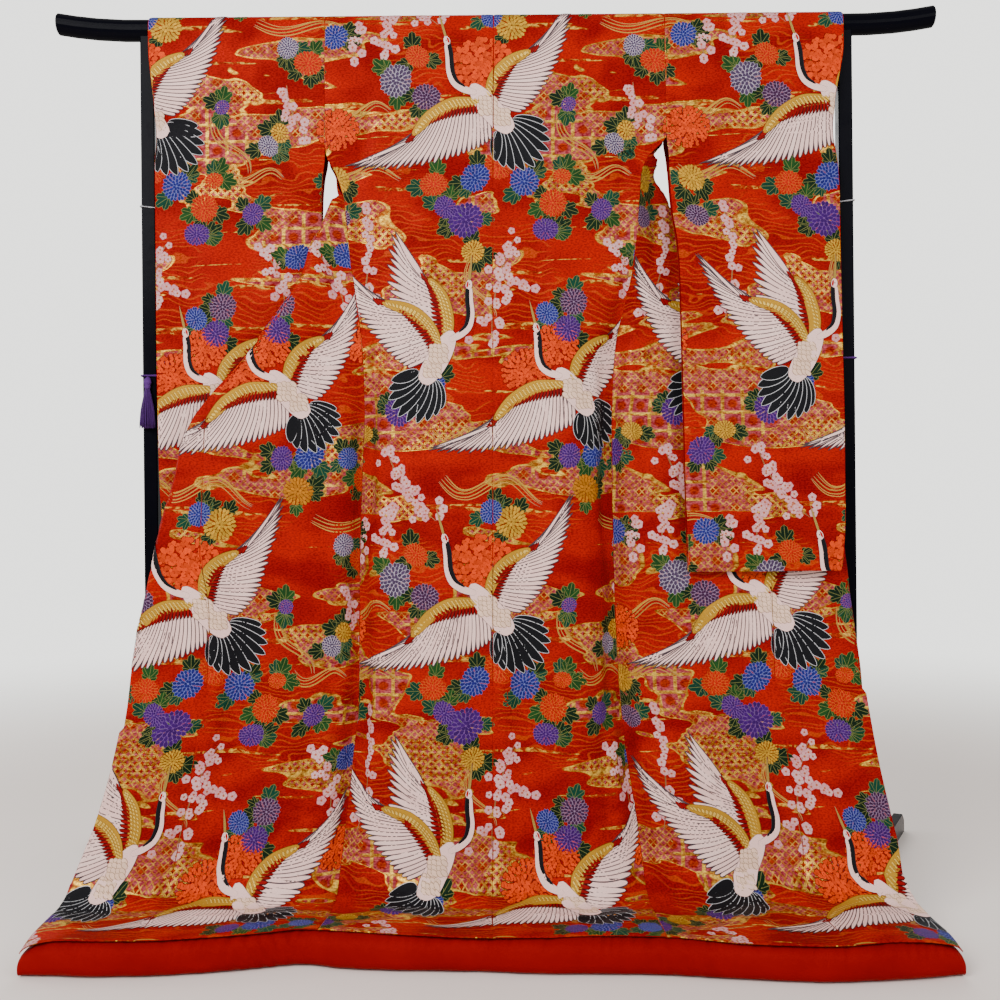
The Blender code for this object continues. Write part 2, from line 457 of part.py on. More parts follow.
for side, word in ((-1, "left"), (1, "right")):
    table = SLEEVE[side]
    half = WALL / 2 + SEAM

    def sleeve_row(z, far):
        """Across the sleeve from the body to the wrist; near and far layers meet face to face where they are sewn."""
        f = np.linspace(0, 1, SLEEVE_COLS + 1)
        inner, outer, yn, yf, ym = (at(table, z, c) for c in range(1, 6))
        x = side * (inner + (outer - inner) * f)
        if z >= WRIST_END + 0.01:
            meet_n, meet_f = yn, yf + (ym - yf) * np.clip((1.60 - z) / 0.13, 0, 1)
        else:
            meet_n, meet_f = ym - half, ym + half
        if z <= SLEEVE_BOTTOM + 1e-6:
            mid = (yn + yf) / 2
            yn, yf, meet_n, meet_f = mid - half, mid + half, ym - half, ym + half
        belly = 0.004 * np.sin(3.14159 * f) * np.sin(9.0 * f + 2.0 * z) * np.clip((1.45 - z) / 0.4, 0, 1)
        belly *= np.clip((z - SLEEVE_BOTTOM) / 0.08, 0, 1) * (0.6 if far else 1.0)
        y = (yf + (meet_f - yf) * f ** 3) if far else (yn + (meet_n - yn) * f ** 3)
        y = y + (abs(belly) if far else -abs(belly)) * (0.0 if z > 1.45 else 1.0)
        return np.stack([x, y, np.full_like(x, z)], -1)

    near = [sleeve_row(z, False) for z in NEAR_TOP + SLEEVE_LOW]
    far = [sleeve_row(z, True) for z in SLEEVE_FAR + SLEEVE_LOW]
    grid = near[::-1] + turn_over(near[0], far[0]) + far
    pieces["sleeve", side] = piece("sleeve_" + word, grid)
s_near = {z: len(NEAR_TOP + SLEEVE_LOW) - 1 - k for k, z in enumerate(NEAR_TOP)}
s_far = {z: len(NEAR_TOP + SLEEVE_LOW) + 5 + k for k, z in enumerate(SLEEVE_FAR)}

# ---------------------------------------------------------------- collar
COLLAR_WIDE = 0.060
COLLAR_END = 0.820
collar_rows = {side: [z for z in FAR_TOP[side] + SKIRT if COLLAR_END <= z <= 1.6201] for side in (-1, 1)}


def collar_half(side):
    body, over = pieces["body", side], pieces["over", side]
    rows = []
    f = np.linspace(0, 1, 5)[:, None]
    over_index = {z: k for k, z in enumerate([z for z in FAR_TOP[side] + SKIRT if z < 1.39])}
    for z in collar_rows[side]:
        src = over["P"][over_index[z]] if z < 1.39 else body["P"][far_row[side][z]]
        p = src[-1]
        if z > 1.515:
            q = np.array([p[0] * 0.4, NECK_Y, NECK_Z + (z - NECK_Z) * 0.4])
        else:
            d = src[-1] - src[-2]
            d[2] = 0
            d = d / np.linalg.norm(d)
            q = p + d * COLLAR_WIDE
        rows.append(p + (q - p) * f)
    return rows


left_rows, right_rows = collar_half(-1), collar_half(1)
top = (left_rows[0] + right_rows[0]) / 2
top[:, 0] = 0.0
collar_grid = left_rows[:0:-1] + [top] + right_rows[1:]
pieces["collar"] = piece("collar", collar_grid, COLLAR_WALL)
mid_row = len(left_rows) - 1

# ---------------------------------------------------------------- seams
for side in (-1, 1):
    body, over, sleeve = pieces["body", side], pieces["over", side], pieces["sleeve", side]
    # side seam: back half of the body width to its own front half
    top_z = 1.345 if side < 0 else 1.420
    zs = [z for z in NEAR_TOP + SKIRT if z <= top_z]
    rb = np.array([near_row[z] for z in zs] + list(range(len(FLOOR) - 1, -1, -1)))
    end_row = last_row[side]
    rf = np.array([far_row[side][z] for z in zs] + list(range(end_row - len(FLOOR) + 1, end_row + 1)))
    seam(body, rb, 0, body, rf, 0)
    # overlap to front
    ro = np.arange(over["P"].shape[0])
    rf = np.arange(far_row[side][1.385], end_row + 1)
    seam(body, rf, body["P"].shape[1] - 1, over, ro, 0)
    # armhole
    end = 1.420 if side < 0 else 1.455
    zn = [z for z in NEAR_TOP if z >= end]
    zf = [z for z in SLEEVE_FAR if z >= end]
    rb = np.array([near_row[z] for z in zn][::-1] + list(range(n_back, n_back + 5)) + [far_row[side][z] for z in zf])
    rs = np.array([s_near[z] for z in zn][::-1] + list(range(s_near[1.670] + 1, s_near[1.670] + 6))
                  + [s_far[z] for z in zf])
    seam(body, rb, 0, sleeve, rs, 0)
    # collar to body and to overlap
    collar = pieces["collar"]
    zb = [z for z in collar_rows[side] if z >= 1.39]
    idx = np.array([mid_row - k if side < 0 else mid_row + k for k in range(len(zb))])
    keep = collar["move"][mid_row, 0].copy()
    seam(body, np.array([far_row[side][z] for z in zb]), body["P"].shape[1] - 1, collar, idx, 0)
    if side > 0:
        collar["move"][mid_row, 0] = keep
    zo = [z for z in collar_rows[side] if z < 1.39]
    start = len(zb)
    idx = np.array([mid_row - start - k if side < 0 else mid_row + start + k for k in range(len(zo))])
    seam(over, np.arange(len(zo)), over["P"].shape[1] - 1, collar, idx, 0)
# centre back seam
rows = np.arange(0, far_row[1][1.620] + 1)
last = pieces["body", -1]["P"].shape[1] - 1
seam(pieces["body", -1], rows, last, pieces["body", 1], rows, last)

for item in pieces.values():
    close(item)


# ---------------------------------------------------------------- hem roll
def tube(name, rings, caps=True):
    """A closed solid through a list of rings that have the same number of points."""
    rings = [np.asarray(r, float) for r in rings]
    n = len(rings[0])
    points = np.concatenate(rings)
    faces = []
    for k in range(len(rings) - 1):
        for m in range(n):
            a, b = k * n + m, k * n + (m + 1) % n
            faces.append((a, b, b + n, a + n))
    if caps:
        faces.append(tuple(range(n))[::-1])
        faces.append(tuple(range((len(rings) - 1) * n, len(rings) * n)))
    return mesh_object(name, points, faces)


table = np.array(HEM)
xs = np.unique(np.concatenate([np.linspace(HEM_ENDS[0] + 0.03, HEM_ENDS[1] - 0.03, 36),
                               HEM_ENDS[0] + np.array([0, 0.004, 0.014]), HEM_ENDS[1] - np.array([0, 0.004, 0.014])]))
angles = np.linspace(0, 2 * np.pi, 14, endpoint=False)
rings = []
for x in xs:
    t = float(taper(np.array(x)))
    front = float(spline(np.array(x), table[:, 0], table[:, 2]))
    seam_y = float(hem_y(np.array(x)))
    high = 0.0588 - (1 - t) * 0.066
    deep = ROLL_DEEP * (0.55 + 0.45 * t)
    c, s = np.cos(angles), np.sin(angles)
    e = 0.72
    y = front + deep / 2 - deep / 2 * np.sign(c) * np.abs(c) ** e
    z = high / 2 + high / 2 * np.sign(s) * np.abs(s) ** e
    rings.append(np.stack([np.full_like(y, x), y, z], -1))
tube("fuki", rings)


# ---------------------------------------------------------------- stand
def lathe_ring(centre, radius, count, axis="x"):
    a = np.linspace(0, 2 * np.pi, count, endpoint=False)
    return np.stack([np.full(count, centre[0]), centre[1] + radius * np.cos(a), centre[2] + radius * np.sin(a)], -1)


bar_x = np.array([-0.825, -0.823, -0.790, -0.750, -0.700, -0.660, 0.660, 0.700, 0.750, 0.790, 0.823, 0.825])
bar_rings = []
for x in bar_x:
    lift = 0.014 * np.clip((abs(x) - 0.675) / 0.15, 0, 1) ** 2
    r = BAR_R - (0.002 if abs(x) > 0.824 else 0.0)
    bar_rings.append(lathe_ring((x, 0.0, BAR_Z + lift), r, 24))
tube("bar", bar_rings)

POST_IN, POST_OUT, POST_HALF_Y = 0.6415, 0.6680, 0.0140
FOOT_TOP = 0.0450
for side, word in ((-1, "left"), (1, "right")):
    rings = []
    for x, half in ((POST_IN, 0.0120), (POST_IN + 0.002, 0.0140), (POST_OUT - 0.002, 0.0140), (POST_OUT, 0.0120)):
        ys = np.linspace(half, -half, 9)
        zs = BAR_Z - np.sqrt((BAR_R + 0.0004) ** 2 - ys ** 2)
        topline = np.stack([np.full_like(ys, side * x), ys, zs], -1)
        base = np.array([[side * x, -half, FOOT_TOP + 0.0003], [side * x, half, FOOT_TOP + 0.0003]])
        rings.append(np.concatenate([topline, base]))
    tube("post_" + word, rings)

rail = []
for x in (-POST_IN + 0.0003, POST_IN - 0.0003):
    rail.append(np.array([[x, -0.007, 0.235], [x, 0.007, 0.235], [x, 0.009, 0.237], [x, 0.009, 0.263],
                          [x, 0.007, 0.265], [x, -0.007, 0.265], [x, -0.009, 0.263], [x, -0.009, 0.237]]))
tube("rail", rail)

# foot: reach in front of the post and behind it, its half width, and its outline seen from the side
FOOT_DIR = np.array([0.4452, 0.8954])
FOOT_FRONT, FOOT_BACK, FOOT_HALF = -0.085, 0.6065, 0.0105
foot_side = ((FOOT_FRONT, 0.0), (FOOT_FRONT, 0.028), (FOOT_FRONT + 0.022, 0.045), (FOOT_BACK - 0.024, 0.045),
             (FOOT_BACK, 0.026), (FOOT_BACK, 0.0))
for side, word in ((-1, "left"), (1, "right")):
    rings = []
    across = np.array([FOOT_DIR[1], -FOOT_DIR[0]])
    for w, cut in ((-FOOT_HALF, 0.0015), (-FOOT_HALF + 0.0015, 0.0), (FOOT_HALF - 0.0015, 0.0), (FOOT_HALF, 0.0015)):
        ring = []
        for s, z in foot_side:
            px = 0.65475 + FOOT_DIR[0] * s + across[0] * w
            py = FOOT_DIR[1] * s + across[1] * w
            ring.append([side * px, py, max(z - cut, 0.0) if z > 0.03 else z])
        rings.append(ring)
    tube("foot_" + word, rings)


# ---------------------------------------------------------------- cords and tassel
def cord(name, side, z, minor, off, tilt):
    """A cord tied round a post: a ring along the post's rounded outline."""
    cx = side * (POST_IN + POST_OUT) / 2
    hx, hy = (POST_OUT - POST_IN) / 2 + off, POST_HALF_Y + off
    a = np.linspace(0, 2 * np.pi, 20, endpoint=False)
    c, s = np.cos(a), np.sin(a)
    path = np.stack([cx + hx * np.sign(c) * np.abs(c) ** 0.22, hy * np.sign(s) * np.abs(s) ** 0.22,
                     z + tilt * side * (np.sign(c) * np.abs(c) ** 0.22)], -1)
    rings = []
    for k in range(20):
        d = path[(k + 1) % 20] - path[k - 1]
        d /= np.linalg.norm(d)
        up = np.array([0, 0, 1.0])
        out = np.cross(d, up)
        out /= np.linalg.norm(out)
        up = np.cross(out, d)
        ang = np.linspace(0, 2 * np.pi, 6, endpoint=False)
        rings.append(path[k] + minor * (np.cos(ang)[:, None] * out + np.sin(ang)[:, None] * up))
    points = np.concatenate(rings)
    faces = []
    for k in range(20):
        for m in range(6):
            a0, b0 = k * 6 + m, k * 6 + (m + 1) % 6
            a1, b1 = ((k + 1) % 20) * 6 + m, ((k + 1) % 20) * 6 + (m + 1) % 6
            faces.append((a0, b0, b1, a1))
    mesh_object(name, points, faces)


cord("tie_left", -1, 1.334, 0.0013, 0.0022, 0.002)
cord("tie_right", 1, 1.334, 0.0013, 0.0022, 0.002)
cord("cord_left", -1, 1.018, 0.0020, 0.0028, 0.000)
cord("cord_right", 1, 1.040, 0.0020, 0.0028, 0.000)

# tassel: height, radius across, radius deep, Y of its middle; fluted like a bundle of threads
TASSEL = ((1.0157, 0.0018, 0.0018, -0.0168), (1.0110, 0.0060, 0.0045, -0.0192), (1.0040, 0.0075, 0.0055, -0.0202),
          (0.9990, 0.0050, 0.0042, -0.0205), (0.9880, 0.0090, 0.0060, -0.0212), (0.9650, 0.0125, 0.0075, -0.0224),
          (0.9400, 0.0152, 0.0085, -0.0234), (0.9240, 0.0155, 0.0085, -0.0234), (0.9180, 0.0146, 0.0080, -0.0234))
rings = []
for k, (z, rx, ry, y) in enumerate(TASSEL):
    a = np.linspace(0, 2 * np.pi, 24, endpoint=False)
    flute = 1 - (0.10 if k > 3 else 0.03) * (np.arange(24) % 2)
    rings.append(np.stack([-0.6575 + rx * flute * np.cos(a), y + ry * flute * np.sin(a), np.full(24, z)], -1))
tube("tassel", rings)
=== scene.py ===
"""Uchikake wedding kimono hung by its sleeves on a lacquered stand: its finish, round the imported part.

Metres, Z up, floor at Z = 0, the kimono's back to -Y. The sections follow the real work: the room, the
stand, the cloth as it comes from the loom, then each sewn piece in the order of sewing, the figures woven over it, and the cords.
"""

import bpy
import numpy as np
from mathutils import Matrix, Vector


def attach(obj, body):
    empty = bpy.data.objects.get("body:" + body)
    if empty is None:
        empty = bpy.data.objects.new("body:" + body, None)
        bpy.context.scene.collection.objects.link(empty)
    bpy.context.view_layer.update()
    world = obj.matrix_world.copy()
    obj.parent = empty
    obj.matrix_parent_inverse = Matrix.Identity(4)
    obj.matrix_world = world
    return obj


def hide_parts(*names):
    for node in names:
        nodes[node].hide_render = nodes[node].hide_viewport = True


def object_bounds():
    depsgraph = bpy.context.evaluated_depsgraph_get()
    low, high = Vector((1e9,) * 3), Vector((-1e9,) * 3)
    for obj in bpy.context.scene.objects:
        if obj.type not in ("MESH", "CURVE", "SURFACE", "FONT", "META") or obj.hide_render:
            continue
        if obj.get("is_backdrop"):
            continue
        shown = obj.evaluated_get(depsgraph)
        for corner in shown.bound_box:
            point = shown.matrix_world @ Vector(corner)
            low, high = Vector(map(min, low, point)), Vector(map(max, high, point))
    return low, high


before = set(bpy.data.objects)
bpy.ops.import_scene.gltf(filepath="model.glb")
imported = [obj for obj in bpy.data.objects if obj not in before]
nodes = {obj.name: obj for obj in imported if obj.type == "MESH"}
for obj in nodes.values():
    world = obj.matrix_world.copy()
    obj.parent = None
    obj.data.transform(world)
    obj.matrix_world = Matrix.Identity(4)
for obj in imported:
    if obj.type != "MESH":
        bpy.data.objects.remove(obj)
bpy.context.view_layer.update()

# ---------------------------------------------------------------- the room
# A plain pale floor that fades into the light of the room, a large soft lamp high on each side in front, a
# broad one behind, and a camera at the height of the sleeves' lower half, level, a little off upright.
EYE = (0.0, -2.39185, 0.779)
EYE_ROLL = 0.009
FOCAL = 1.219            # focal length over the width of the picture
camera = bpy.data.cameras.new("camera")
camera.sensor_width = 36.0
camera.lens = FOCAL * camera.sensor_width
eye = bpy.data.objects.new("camera", camera)
eye.location = EYE
eye.rotation_euler = (np.pi / 2, EYE_ROLL, 0)
bpy.context.scene.collection.objects.link(eye)
bpy.context.scene.camera = eye

# name, place, aim, size, watts
LAMPS = (("key", (-2.2, -3.4, 2.9), (0, 0, 0.9), 2.2, 205),
         ("fill", (2.6, -3.2, 2.3), (0, 0, 0.8), 2.4, 84),
         ("back", (0.4, 3.4, 3.2), (0, 0, 0.9), 2.6, 90),
         ("side", (-3.6, 1.2, 1.9), (0, 0, 0.9), 1.8, 36))
for name, place, aim, size, power in LAMPS:
    lamp = bpy.data.lights.new(name, "AREA")
    lamp.size = size
    lamp.energy = power
    holder = bpy.data.objects.new(name, lamp)
    holder.location = place
    way = holder.location - type(holder.location)(aim)
    holder.rotation_euler = way.to_track_quat("Z", "Y").to_euler()
    bpy.context.scene.collection.objects.link(holder)


class Dye:
    """A socket of a node tree. Arithmetic on it adds Math nodes, and node() adds any other node."""

    def __init__(self, tree, socket=None):
        self.tree, self.socket = tree, socket

    def node(self, kind, settings=(), inputs=(), out=0):
        """Output out of a new node: its settings are set first, then its sockets get values or links."""
        made = self.tree.nodes.new("ShaderNode" + kind)
        for key, value in dict(settings).items():
            setattr(made, key, value)
        for key, value in dict(inputs).items():
            if isinstance(value, Dye):
                self.tree.links.new(value.socket, made.inputs[key])
            else:
                made.inputs[key].default_value = value
        return Dye(self.tree, made.outputs[out])

    def math(self, operation, *values):
        return self.node("Math", {"operation": operation}, dict(enumerate(values)))

    def __add__(self, other):
        return self.math("ADD", self, other)

    def __sub__(self, other):
        return self.math("SUBTRACT", self, other)

    def __rsub__(self, other):
        return self.math("SUBTRACT", other, self)

    def __mul__(self, other):
        return self.math("MULTIPLY", self, other)

    def __truediv__(self, other):
        return self.math("DIVIDE", self, other)

    __radd__, __rmul__ = __add__, __mul__

    def rise(self, low, high):
        """0 below low, 1 above high, smooth between them."""
        return self.node("MapRange", {"interpolation_type": "SMOOTHSTEP"}, {0: self, 1: low, 2: high})

    def tint(self, under, over):
        """The colour under where this mask is 0, and over where it is 1."""
        return self.node("Mix", {"data_type": "RGBA"}, {0: self, 6: under, 7: over}, 2)

    def times(self, other):
        """This colour multiplied by another."""
        how = {"data_type": "RGBA", "blend_type": "MULTIPLY"}
        return self.node("Mix", how, {0: 1.0, 6: self, 7: other}, 2)

    def spread(self, *scale, shift=(0, 0, 0)):
        """This place, scaled and shifted."""
        return self.node("Mapping", {}, {0: self, 1: shift, 3: scale})

    def noise(self, scale, detail, warp=0.0):
        """Cloudy noise at this place."""
        values = {"Vector": self, "Scale": scale, "Detail": detail, "Distortion": warp}
        return self.node("TexNoise", {}, values)

    def bump(self, strength, distance):
        """A normal from this height."""
        return self.node("Bump", {}, {"Strength": strength, "Distance": distance, "Height": self})

    def axis(self, number):
        """One coordinate of this place."""
        return self.node("SeparateXYZ", {}, {0: self}, number)

    def uv(self, name):
        """Places on the mesh's UV map of that name."""
        return self.node("UVMap", {"uv_map": name})

    def held(self, name, out=2):
        """A value that the mesh holds for each of its points."""
        return self.node("Attribute", {"attribute_name": name}, out=out)

    def spot(self):
        """Places in the object's own metres."""
        return self.node("TexCoord", out=3)


# The room's walls are pale and evenly lit, and look brighter than the light they give back.
room = bpy.data.worlds.new("room")
room.use_nodes = True
dye = Dye(room.node_tree)
walls = room.node_tree.nodes["Background"]
walls.inputs["Color"].default_value = (1.0, 1.0, 0.965, 1)
dye.tree.links.new((dye.node("LightPath") * 1.62 + 0.58).socket, walls.inputs["Strength"])
bpy.context.scene.world = room


def finish(name):
    """A new material: its first Dye, its Principled shader and its output."""
    made = bpy.data.materials.new(name)
    made.use_nodes = True
    tree = made.node_tree
    return made, Dye(tree), tree.nodes["Principled BSDF"], tree.nodes["Material Output"]


def feed(dye, shader, **sockets):
    """Links each Dye to the shader's socket of that name, or sets it to the constant."""
    for key, value in sockets.items():
        socket = shader.inputs[key.replace("_", " ")]
        if isinstance(value, Dye):
            dye.tree.links.new(value.socket, socket)
        else:
            socket.default_value = value


def solid_mesh(name, points, faces, material):
    """One object at the origin from numpy points and faces, shaded smooth."""
    mesh = bpy.data.meshes.new(name)
    mesh.from_pydata(points, [], faces)
    mesh.materials.append(material)
    mesh.shade_smooth()
    made = bpy.data.objects.new(name, mesh)
    bpy.context.scene.collection.objects.link(made)
    return made


def lay_uv(made, name, flat):
    """Gives the object a UV map from one pair for each of its points."""
    corner = np.empty(len(made.data.loops), np.int32)
    made.data.loops.foreach_get("vertex_index", corner)
    laid = flat[corner].astype(np.float32).reshape(-1)
    made.data.uv_layers.new(name=name).data.foreach_set("uv", laid)


def quads(rows, cols, round_rows=0, round_cols=0):
    """The four corners of every cell of a grid of points, which may close on itself one way or both."""
    index = np.pad(np.arange(rows * cols).reshape(rows, cols), ((0, round_rows), (0, round_cols)), "wrap")
    return np.stack([index[:-1, :-1], index[:-1, 1:], index[1:, 1:], index[1:, :-1]], -1).reshape(-1, 4)


def normed(vectors):
    """The same vectors at length 1."""
    return vectors / np.maximum(np.linalg.norm(vectors, axis=-1, keepdims=True), 1e-12)


def bell(x, middle, wide):
    """1 at the middle, 1/e at wide to either side of it, and 0 far off."""
    return np.exp(-((x - middle) / wide) ** 2)


def ramp(x, start, span):
    """0 up to start, 1 from a span further on, and straight between. A negative span runs downward."""
    return np.clip((x - start) / span, 0, 1)


FLOOR_CLEAR, FLOOR_GONE = 1.5, 4.5      # how far from the stand the floor begins to fade, and has faded
boards, dye, shader, output = finish("floor")
spot = dye.spot()
feed(dye, shader, Roughness=0.75,
     Base_Color=spot.noise(1.3, 3.0).tint((0.80, 0.71, 0.66, 1), (0.86, 0.77, 0.72, 1)))
far = dye.node("VectorMath", {"operation": "LENGTH"}, {0: spot}, 1).rise(FLOOR_CLEAR, FLOOR_GONE)
gone = dye.node("BsdfTransparent")
mixed = dye.node("MixShader", {}, {0: far, 1: Dye(dye.tree, shader.outputs[0]), 2: gone})
dye.tree.links.new(mixed.socket, output.inputs["Surface"])
floor = solid_mesh("floor", [(-6, -6, 0), (6, -6, 0), (6, 6, 0), (-6, 6, 0)], [(0, 1, 2, 3)], boards)
floor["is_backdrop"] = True

# ---------------------------------------------------------------- the stand
# Bar, two posts, a rail and two feet of wood, sanded, primed and lacquered black until they shine. The
# parts plug together. The lacquer is a little wavy along the wood and dulled by handling.
lacquer, dye, shader, output = finish("lacquer")
spot = dye.spot()
grain = spot.spread(2.0, 6.0, 2.0).noise(9.0, 4.0)
handled = spot.noise(38.0, 5.0).rise(0.52, 0.72)
dust = dye.node("TexVoronoi", {}, {"Vector": spot, "Scale": 420.0}).rise(0.10, 0.06) * handled
feed(dye, shader, Base_Color=(dust * 0.5).tint((0.002, 0.002, 0.004, 1), (0.03, 0.03, 0.036, 1)),
     Roughness=grain * 0.10 + handled * 0.10 + 0.16, Normal=grain.bump(0.10, 0.002),
     Specular_IOR_Level=0.025)
for part in ("bar", "post_left", "post_right", "rail", "foot_left", "foot_right"):
    nodes[part].data.materials.clear()
    nodes[part].data.materials.append(lacquer)

# ---------------------------------------------------------------- two body widths
# Each is one loom width of brocade, lined with red silk, that runs from the hem up the back, over the bar
# and down the front, which is turned out beside it. Sewn to its pair down the centre of the back.
SHIFT_Y = -0.09185       # middle of the stand's depth to the origin
WALL = 0.0016
BAR_Z, TURN_R = 1.670, 0.0222      # centre of the bar, radius of the cloth's middle over it
STEP = 0.0092            # spacing of the woven rows worked out
BACK_Y = ((1.670, -0.0222), (1.620, -0.028), (1.570, -0.031), (1.510, -0.034), (1.455, -0.036),
          (1.420, -0.0375), (1.345, -0.042), (1.200, -0.050), (1.000, -0.060), (0.800, -0.070),
          (0.600, -0.079), (0.400, -0.089), (0.200, -0.098), (0.140, -0.102), (0.100, -0.110))
BACK_X = ((1.670, -0.004), (1.345, -0.008), (0.800, -0.013), (0.100, -0.019), (0.000, -0.020))
FAR_Y = ((1.670, 0.0222), (1.645, 0.0245), (1.620, 0.0260), (1.600, 0.0270), (1.575, 0.0275),
         (1.545, 0.0265), (1.510, 0.0220), (1.455, 0.0160), (1.420, 0.0100))
ARMHOLE_X = {-1: 0.3195, 1: 0.3155}
NECK_Z, NECK_R, NECK_Y = 1.520, 0.100, 0.0280
# height, seam A out, A y, fold F out, F y, first heading, return length, slope, overlap width
LEFT = (
    (1.510, 0.3195, 0.0220, 0.3195, 0.0220, 1.0, 0.2195, 0.027, 0.000),
    (1.455, 0.3195, 0.0160, 0.3195, 0.0160, 1.0, 0.2195, 0.055, 0.000),
    (1.420, 0.3175, 0.0100, 0.3175, 0.0100, 1.0, 0.2195, 0.075, 0.000),
    (1.385, 0.3020, -0.0140, 0.3020, -0.0140, 0.5, 0.2090, 0.160, 0.008),
    (1.372, 0.2990, -0.0215, 0.2990, -0.0215, 0.33, 0.2110, 0.190, 0.009),
    (1.359, 0.2940, -0.0305, 0.2940, -0.0305, 0.15, 0.2120, 0.220, 0.010),
    (1.345, 0.2860, -0.0380, 0.3040, -0.0420, 0.0, 0.2140, 0.240, 0.012),
    (1.310, 0.2820, -0.0390, 0.3185, -0.0520, 0.0, 0.2340, 0.250, 0.020),
    (1.260, 0.2770, -0.0380, 0.3430, -0.0600, 0.0, 0.2350, 0.310, 0.028),
    (1.200, 0.2700, -0.0370, 0.3600, -0.0640, 0.0, 0.2270, 0.300, 0.036),
    (1.140, 0.2620, -0.0380, 0.3970, -0.0670, 0.0, 0.2040, 0.200, 0.050),
    (1.085, 0.2545, -0.0390, 0.4335, -0.0700, 0.0, 0.1800, 0.180, 0.066),
    (1.030, 0.2510, -0.0410, 0.4780, -0.0730, 0.0, 0.1500, 0.150, 0.084),
    (0.980, 0.2510, -0.0430, 0.5240, -0.0760, 0.0, 0.1210, 0.100, 0.101),
    (0.930, 0.2520, -0.0450, 0.5620, -0.0780, 0.0, 0.1050, 0.080, 0.122),
    (0.880, 0.2545, -0.0470, 0.5830, -0.0800, 0.0, 0.1000, 0.060, 0.135),
    (0.820, 0.2570, -0.0490, 0.5950, -0.0820, 0.0, 0.0980, 0.050, 0.143),
    (0.750, 0.2600, -0.0520, 0.6140, -0.0840, 0.0, 0.0860, 0.030, 0.147),
    (0.680, 0.2620, -0.0550, 0.6300, -0.0860, 0.0, 0.0700, 0.020, 0.145),
    (0.600, 0.2630, -0.0580, 0.6520, -0.0870, 0.0, 0.0340, 0.020, 0.145),
    (0.500, 0.2640, -0.0630, 0.6700, -0.0880, 0.0, 0.0120, 0.020, 0.140),
    (0.400, 0.2660, -0.0680, 0.6870, -0.0900, 0.0, 0.0030, 0.020, 0.141),
    (0.300, 0.2760, -0.0750, 0.7080, -0.0940, 0.0, 0.0010, 0.000, 0.147),
    (0.200, 0.2870, -0.0830, 0.7370, -0.0990, 0.0, 0.0010, 0.000, 0.160),
    (0.140, 0.2930, -0.0880, 0.7600, -0.1040, 0.0, 0.0010, 0.000, 0.170),
    (0.100, 0.2980, -0.0960, 0.7750, -0.1120, 0.0, 0.0010, 0.000, 0.178),
)
RIGHT = (
    (1.510, 0.3155, 0.0220, 0.3155, 0.0220, 1.0, 0.2155, 0.027, 0.000),
    (1.455, 0.3155, 0.0160, 0.3155, 0.0160, 1.0, 0.2155, 0.055, 0.000),
    (1.446, 0.3110, 0.0060, 0.3110, 0.0060, 0.75, 0.2120, 0.090, 0.000),
    (1.438, 0.3045, -0.0050, 0.3045, -0.0050, 0.5, 0.2110, 0.120, 0.000),
    (1.429, 0.2955, -0.0190, 0.2955, -0.0190, 0.25, 0.2130, 0.160, 0.000),
    (1.420, 0.2845, -0.0300, 0.3005, -0.0290, 0.0, 0.2175, 0.200, 0.000),
    (1.385, 0.2680, -0.0360, 0.3000, -0.0100, 0.0, 0.2170, 0.080, 0.008),
    (1.345, 0.2640, -0.0370, 0.3220, 0.0040, 0.0, 0.2340, 0.030, 0.012),
    (1.310, 0.2610, -0.0370, 0.3330, 0.0060, 0.0, 0.2250, 0.030, 0.020),
    (1.260, 0.2575, -0.0370, 0.3500, 0.0060, 0.0, 0.2200, 0.030, 0.028),
    (1.200, 0.2500, -0.0370, 0.3720, 0.0050, 0.0, 0.2050, 0.030, 0.036),
    (1.140, 0.2360, -0.0380, 0.4050, 0.0030, 0.0, 0.1750, 0.030, 0.050),
    (1.085, 0.2225, -0.0390, 0.4380, 0.0000, 0.0, 0.1500, 0.030, 0.066),
    (1.030, 0.2160, -0.0410, 0.4700, -0.0030, 0.0, 0.1300, 0.030, 0.084),
    (0.980, 0.2130, -0.0430, 0.5050, -0.0060, 0.0, 0.1100, 0.030, 0.101),
    (0.930, 0.2110, -0.0450, 0.5400, -0.0100, 0.0, 0.0900, 0.030, 0.122),
    (0.880, 0.2100, -0.0470, 0.5700, -0.0140, 0.0, 0.0750, 0.020, 0.135),
    (0.820, 0.2100, -0.0490, 0.5980, -0.0190, 0.0, 0.0600, 0.020, 0.148),
    (0.750, 0.2100, -0.0520, 0.6220, -0.0270, 0.0, 0.0450, 0.010, 0.160),
    (0.680, 0.2110, -0.0550, 0.6410, -0.0360, 0.0, 0.0320, 0.000, 0.162),
    (0.600, 0.2120, -0.0580, 0.6470, -0.0460, 0.0, 0.0240, 0.000, 0.162),
    (0.500, 0.2150, -0.0630, 0.6580, -0.0570, 0.0, 0.0120, 0.000, 0.160),
    (0.400, 0.2200, -0.0680, 0.6710, -0.0670, 0.0, 0.0010, 0.000, 0.160),
    (0.300, 0.2310, -0.0750, 0.6860, -0.0770, 0.0, 0.0010, 0.000, 0.165),
    (0.200, 0.2450, -0.0830, 0.7050, -0.0880, 0.0, 0.0010, 0.000, 0.170),
    (0.140, 0.2520, -0.0880, 0.7160, -0.0960, 0.0, 0.0010, 0.000, 0.174),
    (0.100, 0.2560, -0.0960, 0.7180, -0.1080, 0.0, 0.0010, 0.000, 0.178),
)
FRONT = {-1: np.array(LEFT), 1: np.array(RIGHT)}
# height and radius of the fold
FOLD_R = {-1: ((1.510, 0.008), (1.030, 0.008), (0.980, 0.009), (0.100, 0.009)),
          1: ((1.510, 0.008), (0.100, 0.008))}
# on the floor: side seam out at the first and last row, front edge out at the first and last row
FLOOR_X = {-1: (0.298, 0.312, 0.775, 0.798), 1: (0.256, 0.268, 0.718, 0.744)}
